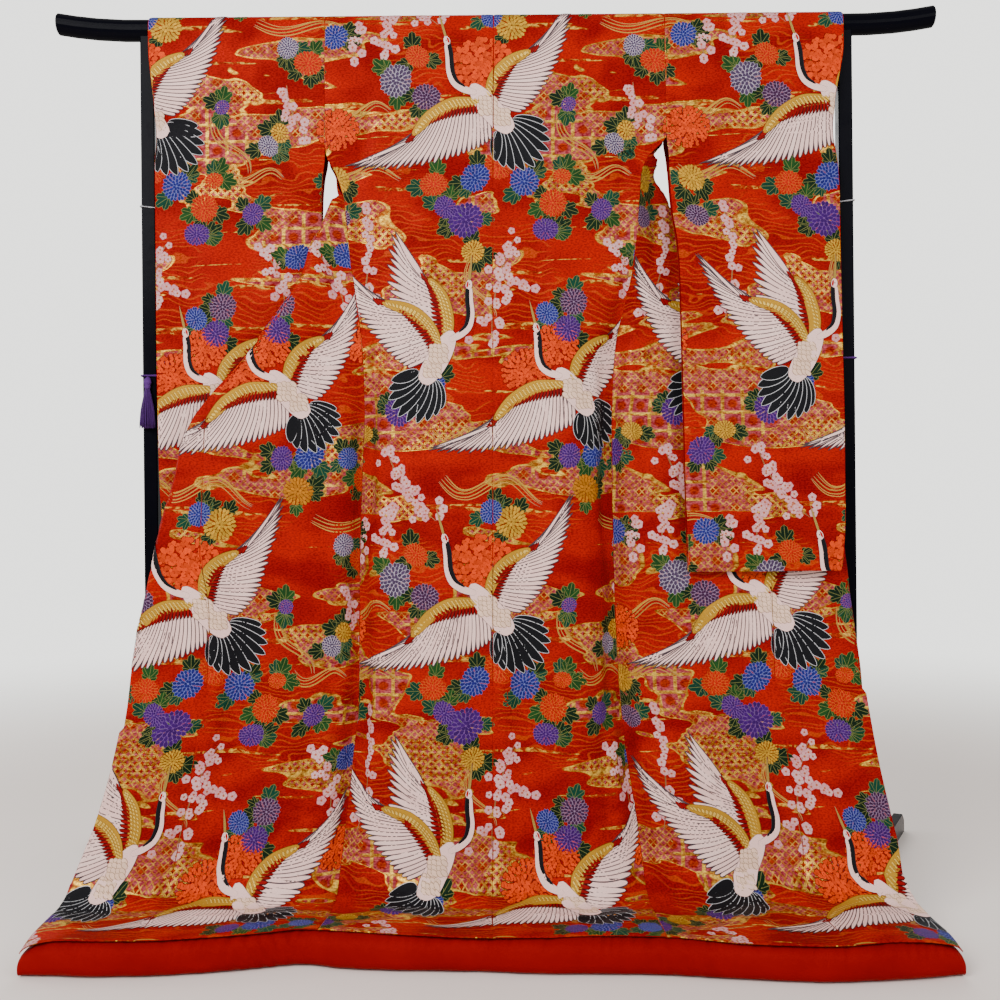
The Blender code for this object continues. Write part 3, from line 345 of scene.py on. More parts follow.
# hem: X, Y of the seam on the roll, Y of the roll's foremost line
HEM = ((-0.80, -0.296, -0.300), (-0.74, -0.296, -0.308), (-0.66, -0.300, -0.314), (-0.59, -0.300, -0.312),
       (-0.50, -0.288, -0.302), (-0.40, -0.268, -0.280), (-0.34, -0.252, -0.268), (-0.27, -0.262, -0.286),
       (-0.17, -0.282, -0.298), (-0.04, -0.300, -0.306), (0.07, -0.302, -0.318), (0.13, -0.296, -0.320),
       (0.27, -0.304, -0.328), (0.33, -0.320, -0.338), (0.39, -0.338, -0.348), (0.53, -0.352, -0.364),
       (0.64, -0.336, -0.356), (0.70, -0.338, -0.346), (0.746, -0.324, -0.332))
HEM_ENDS = (-0.800, 0.746)
NECK_TOP = 1.515         # from here up, the front's inner edge follows the neck's circle
SUNK_DEEP = 0.030        # depth of the valleys along the side seams


def spline(x, xs, ys):
    """Value at x of a smooth curve through (xs, ys): cubic pieces with slopes limited against overshoot."""
    xs, ys = np.asarray(xs, float), np.asarray(ys, float)
    if xs[0] > xs[-1]:
        xs, ys = xs[::-1], ys[::-1]
    h, d = np.diff(xs), np.diff(ys) / np.diff(xs)
    m = np.zeros_like(ys)
    same = d[1:] * d[:-1] > 0
    w1, w2 = 2 * h[1:] + h[:-1], h[1:] + 2 * h[:-1]
    m[1:-1][same] = ((w1 + w2)[same]) / (w1[same] / d[:-1][same] + w2[same] / d[1:][same])
    m[0], m[-1] = d[0], d[-1]
    x = np.clip(x, xs[0], xs[-1])
    k = np.clip(np.searchsorted(xs, x) - 1, 0, len(h) - 1)
    t = (x - xs[k]) / h[k]
    return ((1 + 2 * t) * (1 - t) ** 2 * ys[k] + t * (1 - t) ** 2 * h[k] * m[k]
            + t * t * (3 - 2 * t) * ys[k + 1] + t * t * (t - 1) * h[k] * m[k + 1])


def at(table, z, column):
    """One column of a table whose first column is the height, read at height z."""
    table = np.asarray(table, float)
    return float(spline(np.array(z), table[:, 0], table[:, column]))


def soft(x, low, high):
    """0 below low, 1 above high, and 3t^2 - 2t^3 between."""
    t = np.clip((x - low) / (high - low), 0, 1)
    return t * t * (3 - 2 * t)


def taper(x):
    """The hem roll thins toward its two corners: 1 along the hem, 0.5 at the very ends."""
    e = np.minimum(x - HEM_ENDS[0], HEM_ENDS[1] - x)
    return 0.50 + 0.50 * np.sqrt(np.clip(1 - (1 - np.clip(e / 0.070, 0, 1)) ** 2, 0, 1))


def floor_points(x, y0, share):
    """Cloth lying down: from the bend at y0 forward to the hem seam, with low ridges along the hem."""
    table = np.array(HEM)
    y = y0 + share * (spline(x, table[:, 0], table[:, 1]) - y0)
    height = spline(share, (0, 0.10, 0.30, 0.55, 0.80, 1), (0.100, 0.076, 0.062, 0.0605, 0.0620, 0.0612))
    hang = share * share * (1 - taper(x)) * 0.055
    ridge = 0.0035 * np.sin(np.pi * share) * np.sin(31 * x + 2.2 * share)
    return np.stack([x, y, height + ridge - hang], -1)


def sunk(side, z, x, out):
    """How far the cloth is drawn in at the side seam: a bell across it, from under the waist to the floor."""
    reach = (soft(z, 1.06, 0.90) if side < 0 else soft(z, 1.30, 1.02)) * (0.5 + 0.5 * soft(z, 0.10, 0.30))
    return SUNK_DEEP * reach * bell(side * x, out, 0.021)


def back_row(side, z, share=None):
    """Line across half of the back, from the centre seam to the side: flat, with a valley at the side."""
    f = np.linspace(0, 1, 121)
    seam_z = {-1: 1.345, 1: 1.420}[side]        # the side seam ends here, and the armhole is above
    edge = {-1: ((1.670, 0.3195), (1.440, 0.3195), (1.420, 0.3165), (1.385, 0.2985), (1.345, 0.2860)),
            1: ((1.670, 0.3155), (1.455, 0.3155), (1.420, 0.2845))}[side]
    by, bx = at(BACK_Y, z, 1), at(BACK_X, z, 1)
    if z > seam_z:
        near = soft(z, seam_z, seam_z + 0.035)
        out, ay = at(edge, z, 1), at(FRONT[side], seam_z, 2) * (1 - near) + by * near
    else:
        out, ay = at(FRONT[side], z, 1), at(FRONT[side], z, 2)
    if share is not None:
        out = FLOOR_X[side][0] + (FLOOR_X[side][1] - FLOOR_X[side][0]) * share
    x = bx + (side * out - bx) * f
    g = np.clip((f - 0.55) / 0.45, 0, 1)
    g = g * g * (3 - 2 * g)
    wave = ramp(z, 1.30, -0.9) * 0.010 * np.sin(2 * np.pi * f) * np.sin(np.pi * f) * side
    y = by + (ay - by) * g + wave + sunk(side, z, x, out)
    if share is not None:
        return floor_points(x, y, share)
    return np.stack([x, y, np.full_like(x, z)], -1)


def front_row(side, z, share=None):
    """Line across front and overlap: from the side seam outward to the fold, round it and back behind."""
    if z > NECK_TOP:
        inner = np.sqrt(max(NECK_R ** 2 - (z - NECK_Z) ** 2, 0))
        f = np.linspace(0, 1, 161)
        x = side * (ARMHOLE_X[side] + (inner - ARMHOLE_X[side]) * f)
        x = x + at(BACK_X, BAR_Z, 1) * f * ramp(z, 1.62, 0.025)
        y0 = at(FAR_Y, z, 1)
        y = y0 + (NECK_Y - y0) * f * ramp(z, BAR_Z, -0.05)
        return np.stack([x, y, np.full_like(x, z)], -1)
    a, ay, fo, fy, head, back, slope = (at(FRONT[side], z, c) for c in range(1, 8))
    r = at(FOLD_R[side], z, 1)
    if share is not None:
        a0, a1, e0, e1 = FLOOR_X[side]
        a, fo = a0 + (a1 - a0) * share, e0 + (e1 - e0) * share ** 0.6
    run = max(fo - r - a, 0.0) if head < 0.01 else 0.0
    if back < 0.002:
        run = fo - a
    f = np.linspace(0, 1, 141)
    shape = np.sin(np.pi / 2 * f) if side > 0 else f * f * (3 - 2 * f)
    low = ramp(z, 1.00, -0.7) * (0.8 if side < 0 else ramp(z, 0.60, -0.3))
    wave = low * -0.015 * np.sin(3 * np.pi * f) * np.sin(np.pi * f)
    x = side * (a + run * f)
    line = np.stack([x, ay + (fy - ay) * shape + wave + sunk(side, z, x, a)], -1)
    if back >= 0.002:
        t = np.linspace(0, back, 121)[1:]
        start = np.pi * head
        phi = np.minimum(start + t / r, np.pi)
        rest = np.maximum(t - (np.pi - start) * r, 0)
        ox = a + run + r * (np.sin(phi) - np.sin(start)) - rest
        oy = line[-1, 1] + r * (np.cos(start) - np.cos(phi)) + slope * rest
        line = np.concatenate([line if run > 0 else line[:1], np.stack([side * ox, oy], -1)])
    if share is not None:
        return floor_points(line[:, 0], line[:, 1], share)
    return np.concatenate([line, np.full((len(line), 1), z)], -1)


def stretch(line, start, stop, shares):
    """Points of a dense line between two distances along it, at the given shares of the way."""
    d = np.concatenate([[0], np.cumsum(np.linalg.norm(np.diff(line, axis=0), axis=1))])
    where = start + (stop - start) * shares
    return np.stack([np.interp(where, d, line[:, k]) for k in range(3)], -1)


def length(line):
    return float(np.linalg.norm(np.diff(line, axis=0), axis=1).sum())


def shares(count, edge=0.014):
    """Places across a width: even, with a narrow column at each edge for the turned-in seam."""
    inner = np.linspace(edge, 1 - edge, count - 3)
    return np.concatenate([[0, edge / 3], inner, [1 - edge / 3, 1]])


# creases across pattern and length: from (u, v) to (u, v), half width, depth; negative is a trough
CREASES = (
    (-0.235, 0.16, -0.262, 0.52, 0.012, -0.0030), (-0.215, 0.55, -0.250, 1.02, 0.016, -0.0036),
    (-0.262, 1.05, -0.235, 1.58, 0.018, -0.0042), (0.225, 0.22, 0.262, 0.60, 0.012, -0.0032),
    (0.205, 0.62, 0.236, 1.10, 0.017, -0.0040), (0.232, 1.12, 0.205, 1.60, 0.018, -0.0038),
    (-0.160, 1.30, -0.225, 1.44, 0.009, 0.0026), (-0.205, 1.42, -0.140, 1.50, 0.008, -0.0022),
    (-0.120, 0.36, -0.150, 0.72, 0.020, 0.0022), (0.110, 0.40, 0.140, 0.95, 0.024, 0.0026),
    (0.045, 0.95, 0.062, 1.56, 0.022, -0.0026), (-0.075, 0.86, -0.062, 1.50, 0.024, 0.0028),
    (-0.300, 0.30, -0.100, 0.33, 0.007, -0.0010), (0.020, 0.63, 0.290, 0.66, 0.008, -0.0012),
    (-0.290, 0.93, -0.020, 0.91, 0.007, -0.0010), (0.030, 1.24, 0.300, 1.22, 0.008, -0.0012),
    (-0.310, 1.66, 0.310, 1.645, 0.010, -0.0018), (-0.290, 1.70, -0.060, 1.72, 0.009, 0.0018),
    (0.060, 1.70, 0.280, 1.715, 0.010, 0.0020), (0.130, 0.12, 0.180, 0.30, 0.012, 0.0016),
    (-0.020, 0.20, -0.045, 0.42, 0.014, -0.0016), (0.285, 0.80, 0.300, 1.30, 0.012, 0.0024),
    (-0.290, 0.62, -0.280, 1.15, 0.011, 0.0022), (0.150, 1.40, 0.110, 1.62, 0.014, 0.0024),
    (0.370, 0.22, 0.455, 0.52, 0.016, -0.0028), (0.520, 0.20, 0.500, 0.86, 0.022, 0.0026),
    (-0.372, 0.20, -0.460, 0.55, 0.016, -0.0028), (-0.555, 0.30, -0.525, 0.95, 0.024, 0.0026),
    (0.020, 1.20, -0.030, 1.62, 0.030, 0.0030), (0.095, 1.05, 0.085, 1.60, 0.020, -0.0022),
    (-0.130, 0.98, -0.118, 1.55, 0.018, -0.0024), (0.170, 0.90, 0.172, 1.42, 0.016, 0.0020),
)


def creased(u, v):
    """Height of the creases at (u, v): a bell across each line, fading at its two ends."""
    height = np.zeros(np.broadcast(u, v).shape)
    for u0, v0, u1, v1, wide, deep in CREASES:
        way = np.array([u1 - u0, v1 - v0])
        size = float(np.linalg.norm(way))
        way = way / size
        on = ((u - u0) * way[0] + (v - v0) * way[1]) / size
        off = (u - u0) * way[1] - (v - v0) * way[0]
        off = off + 0.006 * np.sin(9.0 * on + 40 * u0)
        height += deep * bell(off, 0, wide) * soft(on, -0.05, 0.22) * (1 - soft(on, 0.75, 1.05))
    return height


def layer(rows, v, u_first, u_last, places):
    """One face of a sewn piece: its rows from the shoulder down, and where the pattern lies on them."""
    made = {"P": rows, "V": v, "A": u_first, "B": u_last, "T": places}
    return {key: np.array(value) for key, value in made.items()}


def across(part):
    """Pattern place u and length v of every point of a layer."""
    u = part["A"][:, None] + (part["B"] - part["A"])[:, None] * part["T"]
    return u, np.broadcast_to(part["V"][:, None], u.shape)


EDGE_DIP = 0.0007


def dress(parts, flip, deep=1.0):
    """Joins layers end to end, the first from its hem up, and gives them creases and normals.

    A normal is the cross product of the steps along and across. Each edge dips where it is turned in."""
    grid = np.concatenate([parts[0]["P"][::-1]] + [p["P"] for p in parts[1:]])
    near = len(parts[0]["P"])

    def facing(points):
        return normed(np.cross(np.gradient(points, axis=1), np.gradient(points, axis=0)) * flip)

    u = np.concatenate([across(parts[0])[0][::-1]] + [across(p)[0] for p in parts[1:]])
    v = np.concatenate([across(parts[0])[1][::-1]] + [across(p)[1] for p in parts[1:]])
    if deep:
        wide = np.linalg.norm(np.diff(grid, axis=1), axis=-1)
        d = np.concatenate([np.zeros((len(grid), 1)), np.cumsum(wide, axis=1)], axis=1)
        rim = np.minimum(d, d[:, -1:] - d)
        calm = soft(v, 0.06, 0.14) * soft(rim, 0.004, 0.030)
        height = creased(u, v) * deep * calm - EDGE_DIP * bell(rim, 0, 0.003)
        grid = grid + facing(grid) * height[..., None]
    normal = facing(grid)
    parts[0]["P"], parts[0]["N"] = grid[:near][::-1], normal[:near][::-1]
    start = near
    for p in parts[1:]:
        stop = start + len(p["P"])
        p["P"], p["N"] = grid[start:stop], normal[start:stop]
        start = stop
    return grid, normal, u, v


def shell(name, grid, normal, u, v, wall, outside, inside):
    """The closed wall round a grid: the outer face in brocade with its place on the pattern as UV, the inner
    face in lining. v has to be 0 at a shoulder line, where the UV of the two sides differ."""
    rows, cols = grid.shape[:2]
    points = np.stack([grid + normal * wall / 2, grid - normal * wall / 2]).reshape(-1, 3)
    points[:, 1] += SHIFT_Y
    i = np.arange(rows * cols).reshape(rows, cols)
    quad = quads(rows, cols)
    ring = np.concatenate([i[0, :-1], i[:-1, -1], i[-1, :0:-1], i[:0:-1, 0]])
    after = np.roll(ring, -1)
    rim = np.stack([after, ring, ring + rows * cols, after + rows * cols], -1)
    faces = np.concatenate([quad, quad[:, ::-1] + rows * cols, rim])
    a, b, c = (points[quad[:, k]] for k in range(3))
    if (np.cross(b - a, c - b) * normal.reshape(-1, 3)[quad[:, 0]]).sum() < 0:
        faces = faces[:, ::-1]
    made = solid_mesh(name, points, faces.tolist(), outside)
    made.data.materials.append(inside)
    lined = np.zeros(len(faces), np.int32)
    lined[len(quad):2 * len(quad)] = 1
    made.data.polygons.foreach_set("material_index", lined)
    flat = np.stack([u.reshape(-1), v.reshape(-1)], -1)
    lay_uv(made, "cloth", np.concatenate([flat, flat]))
    return made


# The ground of the brocade: vermilion satin crossed by bands of gold mist, which hold linked rings, squares
# and small checks in gold and mauve thread. Lengths are metres on the cloth's own UV.
def ground(dye):
    """Colour, share of gold thread and relief of the woven ground."""
    place = dye.uv("cloth")
    u, v = place.axis(0), place.axis(1)

    def cloud(wide, high, scale, detail, seed, warp=0.0):
        return place.spread(wide, high, 1, shift=(seed, seed * 0.7, 0)).noise(scale, detail, warp)

    def off_centre(value, size, shift=0.0):
        """0 in the middle of each stretch of that size, 0.5 at its ends."""
        x = value.math("FRACT", value / size + shift) - 0.5
        return x.math("ABSOLUTE", x)

    def rings(size, shift):
        a, b = off_centre(u, size, shift), off_centre(v, size, shift)
        r = a.math("SQRT", a * a + b * b)
        return r.math("ABSOLUTE", r - 0.44).rise(0.085, 0.035)

    broad = cloud(1.0, 2.8, 3.4, 2.6, 0.3, 0.55)
    band = broad.rise(0.534, 0.544)
    rim = broad.rise(0.522, 0.527) * (1 - broad.rise(0.534, 0.540))
    wisp = cloud(1.0, 11.0, 4.0, 2.4, 1.7, 0.8).rise(0.640, 0.655)
    zone = cloud(1.0, 1.4, 4.4, 1.0, 4.1)
    ringed, squared = zone.rise(0.560, 0.570), zone.rise(0.440, 0.430)
    ring = rings(0.0150, 0.0)
    ring = ring.math("MAXIMUM", ring, rings(0.0150, 0.5))
    a, b = off_centre(u, 0.0370), off_centre(v, 0.0320)
    lattice = a.math("MAXIMUM", a, b).rise(0.40, 0.43)
    heart = (a * a + b * b).rise(0.11, 0.03)
    p, q = off_centre(u + v, 0.0125), off_centre(u - v, 0.0125)
    diamond = p.math("MAXIMUM", p, q).rise(0.36, 0.41)
    slanted = dye.node("Mapping", {}, {0: place, 2: (0, 0, 0.785)})
    check = dye.node("TexChecker", {}, {0: slanted, "Scale": 125.0}, 1)
    curl = dye.node("TexWave", {"bands_direction": "Y"},
                    {"Vector": place.spread(0.9, 1.5, 1), "Scale": 19.0, "Distortion": 17.0, "Detail": 1.0,
                     "Detail Scale": 0.9}, 1).rise(0.80, 0.93)
    curl = curl * cloud(1, 1, 5.0, 1.0, 7.7).rise(0.48, 0.56)
    pick = dye.node("TexVoronoi", {}, {"Vector": place.spread(0.45, 1.0, 1), "Scale": 430.0}, 1)
    glint = pick.axis(0)
    lustre = cloud(1.0, 1.6, 9.0, 2.5, 2.9, 0.5)
    leafed = cloud(1.0, 1.6, 60.0, 3.0, 5.5, 0.8).rise(0.44, 0.60)

    red = lustre.rise(0.3, 0.7).tint((0.20, 0.0, 0.0, 1), (0.36, 0.004, 0.0, 1))
    gold = (glint * 0.45 + leafed * 0.55).tint((0.20, 0.040, 0.001, 1), (0.72, 0.44, 0.060, 1))
    mauve = (glint * 0.6 + leafed * 0.4).tint((0.17, 0.002, 0.010, 1), (0.44, 0.085, 0.095, 1))
    rust = glint.tint((0.16, 0.0, 0.0, 1), (0.34, 0.026, 0.001, 1))
    inside = lattice.tint(heart.tint(mauve, rust), gold)
    tan = leafed.tint((0.30, 0.080, 0.012, 1), (0.52, 0.26, 0.045, 1))
    inside = squared.tint(diamond.tint(heart.tint(mauve, rust), tan), inside)
    inside = ringed.tint(inside, ring.tint(check.tint(mauve, rust), gold))
    colour = (curl * 0.55).tint(red, (0.46, 0.055, 0.002, 1))
    colour = (wisp * 0.85).tint(colour, leafed.tint(rust, gold))
    colour = band.tint(colour, inside)
    colour = rim.tint(colour, gold)
    # A fine cloudy noise multiplies the ground's colour: painted glints and shade of the threads, lighter and
    # darker in small spots.
    grain = cloud(1.0, 1.8, 230.0, 2.0, 6.1).rise(0.36, 0.60).tint((0.66, 0.66, 0.66, 1), (1.1, 1.1, 1.1, 1))
    colour = colour.times(grain)
    metal = rim.math("MAXIMUM", rim, band * (ring * ringed + lattice * 0.5 + leafed * 0.25))
    metal = metal.math("MINIMUM", metal, 1.0)
    relief = band * 0.5 + wisp * 0.4 + ring * ringed * band * 0.5 + lattice * band * 0.3 + glint * 0.25
    return colour, metal, relief, u, v


brocade, dye, shader, output = finish("brocade")
colour, metal, relief, u, v = ground(dye)
twill = u.math("SINE", u * 3300.0 + v * 4700.0)
feed(dye, shader, Base_Color=colour, Metallic=metal * 0.6, Roughness=0.56 - metal * 0.18,
     Normal=(relief + twill * 0.15).bump(0.5, 0.0003), Specular_IOR_Level=0.04)

# Lining of plain dark red silk, a fine even weave.
lining, dye, shader, output = finish("lining")
place = dye.uv("cloth")
feed(dye, shader, Base_Color=place.noise(7.0, 3.0).tint((0.15, 0.0, 0.0, 1), (0.23, 0.0, 0.0, 1)),
     Normal=place.spread(0.15, 1, 1).noise(900.0, 2.0).bump(0.3, 0.0002), Roughness=0.5,
     Specular_IOR_Level=0.04)

LOOM = 0.300              # of the pattern's width that shows on each front
NECK_ROWS = (1.6198, 1.6186, 1.6160)
BEND_Z, FLOOR_RUN = 0.100, 0.205         # where the cloth bends onto the floor, and how far it then goes
near_z = np.arange(BAR_Z, 0.136, -STEP)
far_z = np.sort(np.concatenate([near_z, NECK_ROWS]))[::-1]
floor_share = np.linspace(0, 1, 27) ** 1.25
BAR_SHARE = (0.010, 0.11, 0.22, 0.33, 0.44)       # over the bar: share of the half turn left to the top
body_t, over_t = shares(49), shares(26)
FLAT_BODY = (0.32, 3.90)


def fallen(z, share=None):
    """Length of cloth from the bar's top down to height z, or on to a share of the way along the floor."""
    if share is None:
        return TURN_R * np.pi / 2 + BAR_Z - z
    return TURN_R * np.pi / 2 + BAR_Z - BEND_Z + FLOOR_RUN * share


def turned(near, far, q):
    """A row over the bar: a share q of the half turn from the near row to the far one."""
    row = near + (far - near) * q
    row[:, 1] = -TURN_R * np.cos(np.pi * q)
    row[:, 2] = BAR_Z + TURN_R * np.sin(np.pi * q)
    return row


def over_bar(near_rows, far_rows):
    """Rows over the bar for the near and the far layer, from its top down, and their distance from it."""
    near = [turned(near_rows[0], far_rows[0], 0.5 - q) for q in BAR_SHARE]
    far = [turned(near_rows[0], far_rows[0], 0.5 + q) for q in BAR_SHARE]
    return near, far, [TURN_R * np.pi * q for q in BAR_SHARE]


def front_cut(side, z, share=None):
    """Front row, how much of its length the body width takes, its length, and where the pattern starts."""
    line = front_row(side, z, share)
    whole = length(line)
    wide = at(FRONT[side], z, 8) if z < 1.39 else 0.0
    own = whole - wide - (0.016 * share if share is not None else 0.0)
    return line, own, whole, own + (LOOM - own) * float(soft(z, 1.15, 1.30))


drops = [(z, None) for z in near_z] + [(BEND_Z, s) for s in floor_share]
far_drops = [(z, None) for z in far_z] + [(BEND_Z, s) for s in floor_share]
layers, sheets = {}, {}
for side, word in ((-1, "left"), (1, "right")):
    rows, v, first = [], [], []
    for z, share in drops:
        line = back_row(side, z, share)
        rows.append(stretch(line, length(line), 0, body_t))
        v.append(fallen(z, share))
        first.append(side * length(line))
    far_rows, far_v, far_first, far_last = [], [], [], []
    for z, share in far_drops:
        line, own, whole, anchor = front_cut(side, z, share)
        far_rows.append(stretch(line, 0, own, body_t))
        far_v.append(fallen(z, share))
        far_first.append(-side * anchor)
        far_last.append(-side * (anchor - own))
    over, over_far, over_v = over_bar(rows, far_rows)
    again = len(over)
    near = layer(over + rows, over_v + v, first[:1] * again + first, [0.0] * (again + len(v)), body_t)
    far = layer(over_far + far_rows, over_v + far_v, far_first[:1] * again + far_first,
                far_last[:1] * again + far_last, body_t)
    grid, normal, u, v = dress([near, far], -side, 1.6)
    body = shell("back_and_front_" + word, grid, normal, u, v, WALL, brocade, lining)
    layers["body", side] = [near, far]
    sheets["body", side] = body, dict(flat=FLAT_BODY, held="hung", rests_on=["bar"])
    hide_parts("body_" + word)
    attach(body, "root")

# ---------------------------------------------------------------- two overlaps
# Narrow widths of the same brocade (okumi), lined alike, sewn down the front edge of each body width from
# the breast to the hem, wider as they go down, so that the turned-out front reaches the corner of the hem.
FLAT_OVER, AREA_OVER = (0.19, 1.50), 0.215
OVER_TOP = 1.386
for side, word in ((-1, "left"), (1, "right")):
    rows, v, first, last = [], [], [], []
    for z, share in far_drops:
        if z > OVER_TOP:
            continue
        line, own, whole, anchor = front_cut(side, z, share)
        rows.append(stretch(line, own, whole, over_t))
        v.append(fallen(z, share))
        first.append(-side * (anchor - own))
        last.append(-side * (anchor - whole))
    over = layer(rows, v, first, last, over_t)
    grid, normal, u, v = dress([over], side, 1.4)
    piece = shell("overlap_" + word, grid, normal, u, v, WALL, brocade, lining)
    layers["over", side] = [over]
    sheets["over", side] = piece, dict(flat=FLAT_OVER, held="hung", rests_on=[], area=AREA_OVER)
    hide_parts("okumi_" + word)
    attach(piece, "root")

# ---------------------------------------------------------------- two sleeves
# Each is one width folded over the bar, with a deep round-cornered bag that is sewn along the wrist edge
# under the hand's opening and along the bottom, and left open beside the body. Sewn to the armhole.
SLEEVE_LOW, WRIST_END = 0.644, 1.455
# height, inner edge out, outer edge out, near Y, far Y, Y where near and far meet at the outer edge
SLEEVE = {
    -1: ((1.670, 0.3195, 0.650, -0.0222, 0.0222, 0.0), (1.620, 0.3195, 0.648, -0.028, 0.026, 0.0),
         (1.570, 0.3195, 0.643, -0.031, 0.027, 0.0), (1.510, 0.3195, 0.636, -0.034, 0.022, -0.012),
         (1.455, 0.3195, 0.635, -0.036, 0.016, -0.024), (1.420, 0.3195, 0.638, -0.0365, 0.010, -0.025),
         (1.385, 0.324, 0.6385, -0.032, 0.0, -0.025), (1.345, 0.3265, 0.6385, -0.029, -0.007, -0.025),
         (1.310, 0.327, 0.6385, -0.0275, -0.011, -0.025), (1.085, 0.334, 0.6385, -0.0265, -0.012, -0.025),
         (0.840, 0.340, 0.636, -0.028, -0.012, -0.024), (0.740, 0.343, 0.631, -0.029, -0.013, -0.024),
         (0.680, 0.345, 0.627, -0.029, -0.015, -0.0235), (0.644, 0.346, 0.625, -0.0245, -0.0225, -0.0235)),
    1: ((1.670, 0.3155, 0.650, -0.0222, 0.0222, 0.0), (1.620, 0.3155, 0.648, -0.028, 0.026, 0.0),
        (1.570, 0.3155, 0.640, -0.031, 0.027, 0.0), (1.510, 0.3155, 0.629, -0.034, 0.022, -0.012),
        (1.455, 0.3155, 0.628, -0.036, 0.016, -0.024), (1.420, 0.319, 0.633, -0.0365, 0.008, -0.026),
        (1.385, 0.321, 0.637, -0.034, -0.002, -0.027), (1.345, 0.323, 0.6385, -0.033, -0.008, -0.027),
        (1.310, 0.326, 0.6385, -0.0345, -0.012, -0.028), (1.260, 0.334, 0.6385, -0.036, -0.016, -0.029),
        (1.200, 0.338, 0.6385, -0.039, -0.020, -0.031), (1.085, 0.3395, 0.6385, -0.045, -0.026, -0.037),
        (0.960, 0.3405, 0.6385, -0.052, -0.0335, -0.044), (0.840, 0.341, 0.637, -0.059, -0.041, -0.051),
        (0.740, 0.342, 0.635, -0.066, -0.048, -0.058), (0.680, 0.343, 0.630, -0.070, -0.053, -0.063),
        (0.644, 0.343, 0.625, -0.0665, -0.0645, -0.0655)),
}
SLEEVE_OUT = 0.330        # where the pattern starts at the armhole, from the middle of the back
FLAT_SLEEVE = (0.33, 2.15)
sleeve_z = np.concatenate([np.arange(BAR_Z, 0.655, -STEP), [0.652, 0.648, SLEEVE_LOW]])
sleeve_t = shares(46)


def sleeve_row(side, z, far):
    """Across the sleeve from the body to the wrist; its two layers meet face to face where they are sewn."""
    inner, outer, yn, yf, ym = (at(SLEEVE[side], z, c) for c in range(1, 6))
    half = WALL / 2 + 0.00015
    if z >= WRIST_END + 0.01:
        near_by = float(soft(z, WRIST_END + 0.055, WRIST_END + 0.010))
        meet_n = yn + (ym - half - yn) * near_by
        meet_f = yf + (ym + half * near_by - yf) * ramp(z, 1.60, -0.13)
    else:
        meet_n, meet_f = ym - half, ym + half
    closed = soft(z, SLEEVE_LOW + 0.012, SLEEVE_LOW)
    mid = (yn + yf) / 2
    yn, yf = yn + (mid - half - yn) * closed, yf + (mid + half - yf) * closed
    f = sleeve_t
    belly = 0.004 * np.abs(np.sin(np.pi * f) * np.sin(9.0 * f + 2.0 * z)) * ramp(z, WRIST_END, -0.4)
    belly = belly * ramp(z, SLEEVE_LOW, 0.08) * (0.6 if far else -1.0)
    y = (yf + (meet_f - yf) * f ** 3 if far else yn + (meet_n - yn) * f ** 3) + belly
    return np.stack([side * (inner + (outer - inner) * f), y, np.full_like(f, z)], -1)


for side, word in ((-1, "left"), (1, "right")):
    near_rows = [sleeve_row(side, z, False) for z in sleeve_z]
    far_rows = [sleeve_row(side, z, True) for z in sleeve_z]
    over, over_far, over_v = over_bar(near_rows, far_rows)
    v = over_v + [fallen(z) for z in sleeve_z]
    wide = np.array([length(row) for row in over + near_rows])
    first = np.full(len(v), -side * SLEEVE_OUT)
    near = layer(over + near_rows, v, first, first + side * wide, sleeve_t)
    far = layer(over_far + far_rows, v, first, -side * (SLEEVE_OUT + wide), sleeve_t)
    grid, normal, u, v = dress([near, far], side, 0.7)
    sleeve = shell("sleeve_cloth_" + word, grid, normal, u, v, WALL, brocade, lining)
    layers["sleeve", side] = [near, far]
    sheets["sleeve", side] = sleeve, dict(flat=FLAT_SLEEVE, held="hung", rests_on=["bar"])
    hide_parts("sleeve_" + word)
    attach(sleeve, "root")

# ---------------------------------------------------------------- collar
# One long strip of the brocade folded double, sewn round the neck edge and down the front edge of each
# overlap to below the waist. It stands stiff behind the bar, where the neck's half circle hangs.
COLLAR_WALL, COLLAR_WIDE, COLLAR_END = 0.0030, 0.060, 0.820
COLLAR_U = 0.10
FLAT_COLLAR, AREA_COLLAR = (0.12, 2.30), 0.138       # folded double, so half of the cut shows
collar_t = shares(12, 0.05)
halves = {}
for side in (-1, 1):
    halves[side] = []
    for z in far_z[(far_z <= 1.6199) & (far_z >= COLLAR_END)]:
        line = front_row(side, z)
        edge = line[-1]
        if z > NECK_TOP:
            inner = np.array([edge[0] * 0.4, NECK_Y, NECK_Z + (z - NECK_Z) * 0.4])
        else:
            way = stretch(line, length(line) - 0.010, length(line), np.array([0.0, 1.0]))
            way = way[1] - way[0]
            inner = edge + way / np.linalg.norm(way) * COLLAR_WIDE
        halves[side].append(edge + (inner - edge) * collar_t[:, None])
rows = halves[-1][::-1] + halves[1]
middle = np.array([row[0] for row in rows])
v = np.concatenate([[0], np.cumsum(np.linalg.norm(np.diff(middle, axis=0), axis=1))])
strip = layer(rows, v, np.full(len(v), COLLAR_U), np.full(len(v), COLLAR_U + COLLAR_WIDE), collar_t)
grid, normal, u, v = dress([strip], 1, 0)
collar = shell("collar_cloth", grid, normal, u, v, COLLAR_WALL, brocade, brocade)
layers["collar", 0] = [strip]
sheets["collar", 0] = collar, dict(flat=FLAT_COLLAR, held="folded", rests_on=[], area=AREA_COLLAR)
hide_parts("collar")
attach(collar, "root")

